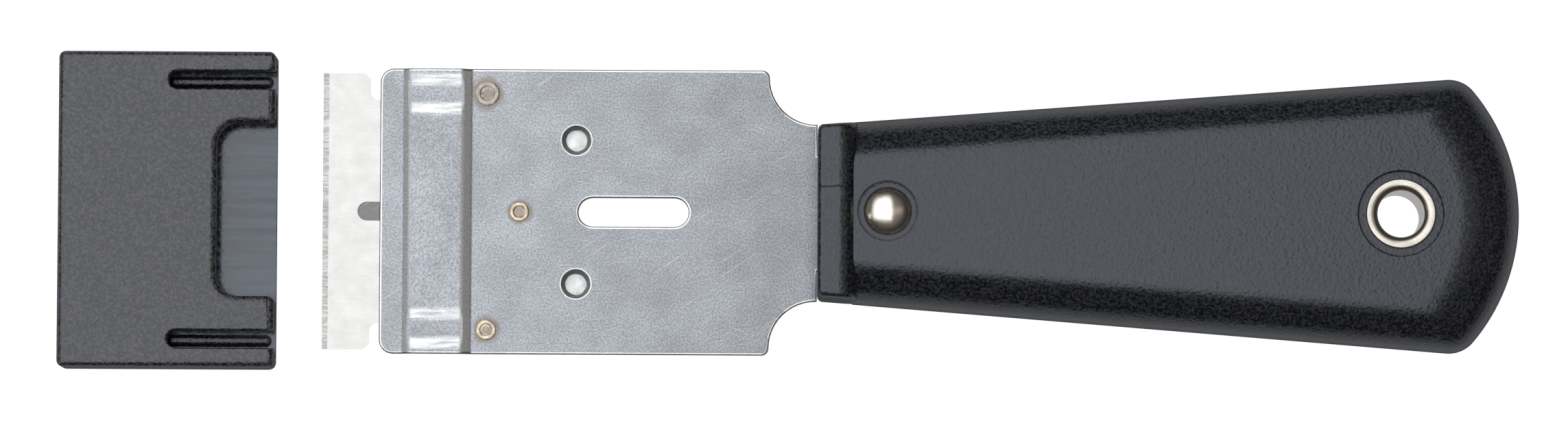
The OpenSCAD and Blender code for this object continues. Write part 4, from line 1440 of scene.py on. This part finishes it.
class MakeMarks(bpy.types.Operator):
    """Sets the clinched cups and the weld beads into the two sheets"""
    bl_idname = "scraper.make_marks"
    bl_label = "Cups and welds"

    def execute(self, context):
        head = context.scene.scraper.head
        colours = context.scene.scraper.colours
        sheet = cup_metal("cup metal", colours, head)
        weld = weld_metal("weld metal", colours)
        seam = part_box("handle_front")[0].z
        face = seam + head.sheet_t / 2
        under = seam - 1.5 * head.sheet_t
        spots = [((p.x, p.y, face), 1.0) for p in cup_places(head)]
        pieces = [marks("cups", turned("cup", cup_profile(head)), spots, sheet),
                  marks("cup_bosses", turned("boss", boss_profile(head)), spots, sheet)]
        bead = bead_profile(head, head.sheet_t / 4)
        rows = (("welds", bead, face, 3), ("welds_under", flipped(bead), under, 5))
        for name, profile, height, seed in rows:
            places = [((p.x, p.y, height), radius / MM) for p, radius in weld_places(head)]
            pieces.append(marks(name, turned("bead", profile), places, weld, head.weld_rough,
                                head.weld_lump, seed))
        for piece in pieces:
            finish_piece(piece, [], "tool", [])
        return {"FINISHED"}


# Blade

WAVER_NOISE = (0.9, 3.7)
NICK_NOISE = (2.3, 9.1)


def along_edge(rows, per_mm, row):
    """Noise along the blade's edge, at a scale and in a row of its own"""
    return [noise.noise(Vector((y / MM * per_mm, row, 0))) for y in rows]


def place_key(point):
    """Place of a point from above, to look it up by"""
    return tuple(round(part, PLACE_DIGITS) for part in point.xy)


class MakeBlade(bpy.types.Operator):
    """Cuts the razor blade and grinds its edge"""
    bl_idname = "scraper.make_blade"
    bl_label = "Razor blade"

    def execute(self, context):
        sizes = context.scene.scraper.blade
        colours = context.scene.scraper.colours
        low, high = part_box("razor_blade")
        spine_low, spine_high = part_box("blade_spine")
        half, narrow = high.y, spine_high.y
        notch = low.x + sizes.front_d
        count = sizes.edge_steps
        rows = [half * (1 - 2 * k / count) for k in range(count + 1)]
        waver = [sizes.grind * level for level in along_edge(rows, *WAVER_NOISE)]
        nicks = [sizes.nick * max(level, 0) ** 2 for level in along_edge(rows, *NICK_NOISE)]
        ground = [Vector((low.x + sizes.bevel_w + w, y)) for y, w in zip(rows, waver)]
        rear = rounded([
            (low.x, -half, 0), (notch - sizes.chamfer, -half, 0), (notch, sizes.chamfer - half, 0),
            (notch, -narrow, sizes.notch_r), (high.x, -narrow, 0), (high.x, narrow, 0),
            (notch, narrow, sizes.notch_r), (notch, half - sizes.chamfer, 0),
            (notch - sizes.chamfer, half, 0), (low.x, half, 0)])[1:-1]
        slot_front = low.x + sizes.slot_set
        slot_back = spine_low.x + sizes.slot_w
        slot = long_hole((slot_front + slot_back) / 2, slot_back - slot_front, sizes.slot_w)
        flat = blank(ground + rear, [slot])
        by_place = {place_key(vert.co): vert for vert in flat.verts}
        inner = [by_place[place_key(p)] for p in ground]
        outer = [flat.verts.new((low.x + n, y, 0)) for y, n in zip(rows, nicks)]
        for i in range(count):
            flat.faces.new((outer[i], outer[i + 1], inner[i + 1], inner[i]))
        bmesh.ops.recalc_face_normals(flat, faces=flat.faces)
        tips = set(outer)
        thick = (high.z - low.z) / 2
        solid = thickened(flat, lambda vert: sizes.edge_t / 2 if vert in tips else thick,
                          lambda face: int(any(vert in tips for vert in face.verts)), (low.z + high.z) / 2)
        piece = piece_from("blade", solid)
        steel = bright_metal("blade steel", colours.blade, roughness=0.3, line_size=0.12 * MM, clouded=0.06)
        ground_steel = bright_metal("ground edge", colours.ground, roughness=0.4, line_size=0.22 * MM,
                                    clouded=0.14, lined=0.8)
        finish_piece(piece, [steel, ground_steel], "blade", ["razor_blade"])
        return {"FINISHED"}


class MakeSpine(bpy.types.Operator):
    """Finishes the folded spine on the blade's back"""
    bl_idname = "scraper.make_spine"
    bl_label = "Blade spine"

    def execute(self, context):
        colours = context.scene.scraper.colours
        piece = dressed_copy("blade_spine", "spine")
        steel = bright_metal("spine steel", colours.sheet, roughness=0.34, line_size=0.1 * MM)
        finish_piece(piece, [steel], "blade", ["blade_spine"])
        return {"FINISHED"}


# Guard

ROUND_FROM = math.radians(50)
ROUND_SEGMENTS = 4
STRAY_SHARE = 0.8
LIP_STEPS = 20
LEVEL_NORMAL = 0.999
INSIDE_SHARE = 0.8


def round_edges(piece, sizes):
    """Rounds the guard's sharp edges, less so round its open end, and draws in stray points"""
    low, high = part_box("blade_guard")
    middle = (low.x + high.x) / 2
    solids = []

    def in_corner(place):
        return (abs(place.x - middle) > high.x - middle - sizes.corner_r
                and abs(place.y) > high.y - sizes.corner_r)

    def weigh(bm):
        solids.append(BVHTree.FromBMesh(bm))
        weight = bm.edges.layers.float.new("bevel_weight_edge")
        for edge in bm.edges:
            outer = all(in_corner(vert.co) for vert in edge.verts)
            if edge.calc_face_angle(0) > ROUND_FROM and not outer:
                at_end = all(vert.co.x > high.x - SAME_PLACE for vert in edge.verts)
                edge[weight] = sizes.end_r / sizes.lip_r if at_end else 1

    reshape(piece, weigh)
    rim = piece.modifiers.new("cut edges", "BEVEL")
    rim.limit_method = "WEIGHT"
    rim.width = sizes.lip_r
    rim.segments = ROUND_SEGMENTS
    rim.use_clamp_overlap = False
    settle(piece)

    def draw_in(bm):
        limit = STRAY_SHARE * sizes.lip_r
        stray = {vert for vert in bm.verts if solids[0].find_nearest(vert.co)[3] > limit}
        while stray:
            anchors = {vert: [edge.other_vert(vert).co for edge in vert.link_edges
                              if edge.other_vert(vert) not in stray] for vert in stray}
            settled = {vert for vert in stray if anchors[vert]}
            if not settled:
                raise RuntimeError("a stray part of the guard has no neighbour to settle on")
            for vert in settled:
                vert.co = sum(anchors[vert], Vector()) / len(anchors[vert])
            stray -= settled

    reshape(piece, draw_in)


def ease_lip(piece, sizes):
    """Eases the guard's top face down towards its thumb cut-out"""
    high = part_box("blade_guard")[1]
    under = high.z - sizes.wall
    inner_x = sizes.thumb_d - sizes.thumb_r
    inner_y = sizes.thumb_w / 2 - sizes.thumb_r
    reach = sizes.thumb_r + sizes.thumb_lip
    steps = [reach * k / LIP_STEPS for k in range(LIP_STEPS + 1)]
    cuts = [((high.x - inner_x - step, 0, 0), (1, 0, 0)) for step in steps]
    cuts += [((0, side * (inner_y + step), 0), (0, 1, 0)) for step in steps for side in (-1, 1)]

    def on_top(face):
        return face.normal.z > LEVEL_NORMAL and face.verts[0].co.z > high.z - WELD_DISTANCE

    def lower(bm):
        for place, normal in cuts:
            bm.normal_update()
            top = [face for face in bm.faces if on_top(face)]
            edges = {edge for face in top for edge in face.edges}
            verts = {vert for face in top for vert in face.verts}
            bmesh.ops.bisect_plane(bm, geom=[*verts, *edges, *top], dist=WELD_DISTANCE, plane_co=place,
                                   plane_no=normal)
        for vert in bm.verts:
            past = Vector((max(high.x - vert.co.x - inner_x, 0), max(abs(vert.co.y) - inner_y, 0)))
            near = max(reach - past.length, 0)
            in_skin = min(max((vert.co.z - under) / sizes.wall, 0), 1)
            vert.co.z -= in_skin * min(near, sizes.thumb_lip) ** 2 / (2 * sizes.thumb_lip)

    reshape(piece, lower)


class MakeGuard(bpy.types.Operator):
    """Finishes the push-on guard, with rounded cut edges and a smooth inside"""
    bl_idname = "scraper.make_guard"
    bl_label = "Blade guard"

    def execute(self, context):
        sizes = context.scene.scraper.guard
        colours = context.scene.scraper.colours
        piece = dressed_copy("blade_guard", "guard")
        round_edges(piece, sizes)
        ease_lip(piece, sizes)
        low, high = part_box("blade_guard")
        wall = INSIDE_SHARE * sizes.wall
        for face in piece.data.polygons:
            x, y, z = face.center
            inside = low.x + wall < x and abs(y) < sizes.slot_from and low.z + wall < z < high.z - wall
            face.material_index = int(inside)
        plastic = moulded_plastic("guard plastic", colours.guard, colours.guard_sheen, gloss=0.74,
                                  grain_size=0.36 * MM, grain_depth=0.06 * MM, roughness=0.32)
        smooth = moulded_plastic("guard inside", colours.guard_inside, colours.grip_sheen, gloss=1.0,
                                 grain_size=0.5 * MM, grain_depth=0.004 * MM, roughness=0.17, drawn=True)
        finish_piece(piece, [plastic, smooth], "guard", ["blade_guard"])
        return {"FINISHED"}


# Stage

SKY_LEVELS = ((0.0, 0.02), (0.3, 0.04), (0.5, 0.09), (0.65, 0.17), (1.0, 0.24))
SKY_LEAN_X = -0.05
SKY_LEAN_Y = 0.08
PANEL_SIZE = (1.11, 1.35)
PANEL_PLACE = (-0.357, 0.26, 0.7)
PANEL_AIM = (-0.357, 0.26, 0)
SIDE_SIZE = (0.35, 0.9)
SIDE_PLACE = (0.5, 0.05, 0.87)
WINDOW_SIZE = (0.1, 0.1)
WINDOW_PLACE = (-0.94, -0.2, 0.33)


def soft_sky(stage):
    """Overhead light that fades towards the horizon"""
    world = bpy.data.worlds.new("soft light")
    bpy.context.scene.world = world
    world.use_nodes = True
    tree = world.node_tree
    tree.nodes.clear()
    x, y, z = add(tree, "ShaderNodeTexCoord", output="Generated").axes()
    ramp = put(tree, "ShaderNodeValToRGB", {0: z + y * SKY_LEAN_Y + x * SKY_LEAN_X})
    stops = ramp.color_ramp.elements
    while len(stops) < len(SKY_LEVELS):
        stops.new(0.5)
    for stop, (place, level) in zip(stops, SKY_LEVELS):
        stop.position = place
        stop.color = (level, level, level, 1)
    sky = add(tree, "ShaderNodeBackground", {"Color": Field(tree, ramp.outputs[0]), "Strength": stage.sky})
    put(tree, "ShaderNodeOutputWorld", {"Surface": sky})


def lamp(name, power, size, place, aim, tint=(1, 1, 1)):
    """Rectangular lamp at a place, turned to a point"""
    light = bpy.data.lights.new(name, "AREA")
    light.shape = "RECTANGLE"
    light.energy = power
    light.color = tint
    light.size, light.size_y = size
    holder = bpy.data.objects.new(name, light)
    bpy.context.scene.collection.objects.link(holder)
    way = (Vector(place) - Vector(aim)).to_track_quat("Z", "Y")
    holder.matrix_world = Matrix.Translation(place) @ way.to_matrix().to_4x4()
    holder.visible_camera = False


class SetStage(bpy.types.Operator):
    """Sets the floor, the light and the camera"""
    bl_idname = "scraper.set_stage"
    bl_label = "Stage"

    def execute(self, context):
        stage = context.scene.scraper.stage
        bm = bmesh.new()
        bmesh.ops.create_grid(bm, x_segments=1, y_segments=1, size=stage.floor_w / 2)
        mesh = bpy.data.meshes.new("floor")
        bm.to_mesh(mesh)
        bm.free()
        floor = new_piece("floor", mesh)
        mesh.materials.append(pale_floor(context.scene.scraper.colours, stage.floor_glow, stage.floor_mirror))
        soft_sky(stage)
        aim = Vector((stage.aim_x, stage.aim_y, stage.aim_z))
        lamp("panel lamp", stage.panel, PANEL_SIZE, PANEL_PLACE, PANEL_AIM, stage.light_tint)
        lamp("side lamp", stage.side, SIDE_SIZE, SIDE_PLACE, aim, stage.side_tint)
        lamp("window lamp", stage.window, WINDOW_SIZE, WINDOW_PLACE, aim)
        back = Vector((0, -math.cos(stage.elevation), math.sin(stage.elevation)))
        data = bpy.data.cameras.new("camera")
        data.sensor_fit = "HORIZONTAL"
        data.lens = data.sensor_width * stage.distance / stage.view_w
        camera = bpy.data.objects.new("camera", data)
        context.scene.collection.objects.link(camera)
        facing = back.to_track_quat("Z", "Y").to_matrix().to_4x4()
        camera.matrix_world = (Matrix.Translation(aim + back * stage.distance) @ facing
                               @ Matrix.Rotation(stage.roll, 4, "Z"))
        context.scene.camera = camera
        context.scene.view_settings.view_transform = "Standard"
        return {"FINISHED"}


class ScraperPanel(bpy.types.Panel):
    """Lists the scraper's pieces"""
    bl_idname = "VIEW3D_PT_scraper"
    bl_label = "Razor blade scraper"
    bl_space_type = "VIEW_3D"
    bl_region_type = "UI"
    bl_category = "Scraper"

    def draw(self, context):
        for operator in OPERATORS:
            self.layout.operator(operator.bl_idname)


GROUP_CLASSES = (HandleSizes, FittingSizes, HeadSizes, BladeSizes, GuardSizes, FinishColours, StageSettings,
                 ScraperSettings)
OPERATORS = (MakeHandle, MakeRivet, MakeEyelet, MakeHolder, MakeBacking, MakeMarks, MakeBlade, MakeSpine,
             MakeGuard, SetStage)
CLASSES = GROUP_CLASSES + OPERATORS + (ScraperPanel,)


def register():
    """Registers the classes and the scene's settings"""
    for cls in CLASSES:
        bpy.utils.register_class(cls)
    bpy.types.Scene.scraper = PointerProperty(type=ScraperSettings)


def unregister():
    """Removes the scene's settings and the classes"""
    del bpy.types.Scene.scraper
    for cls in reversed(CLASSES):
        bpy.utils.unregister_class(cls)


def main():
    """Builds the scraper piece by piece"""
    register()
    bpy.ops.scraper.make_handle()
    bpy.ops.scraper.make_rivet()
    bpy.ops.scraper.make_eyelet()
    bpy.ops.scraper.make_holder()
    bpy.ops.scraper.make_backing()
    bpy.ops.scraper.make_marks()
    bpy.ops.scraper.make_blade()
    bpy.ops.scraper.make_spine()
    bpy.ops.scraper.make_guard()
    bpy.ops.scraper.set_stage()


if __name__ == "__main__":
    main()
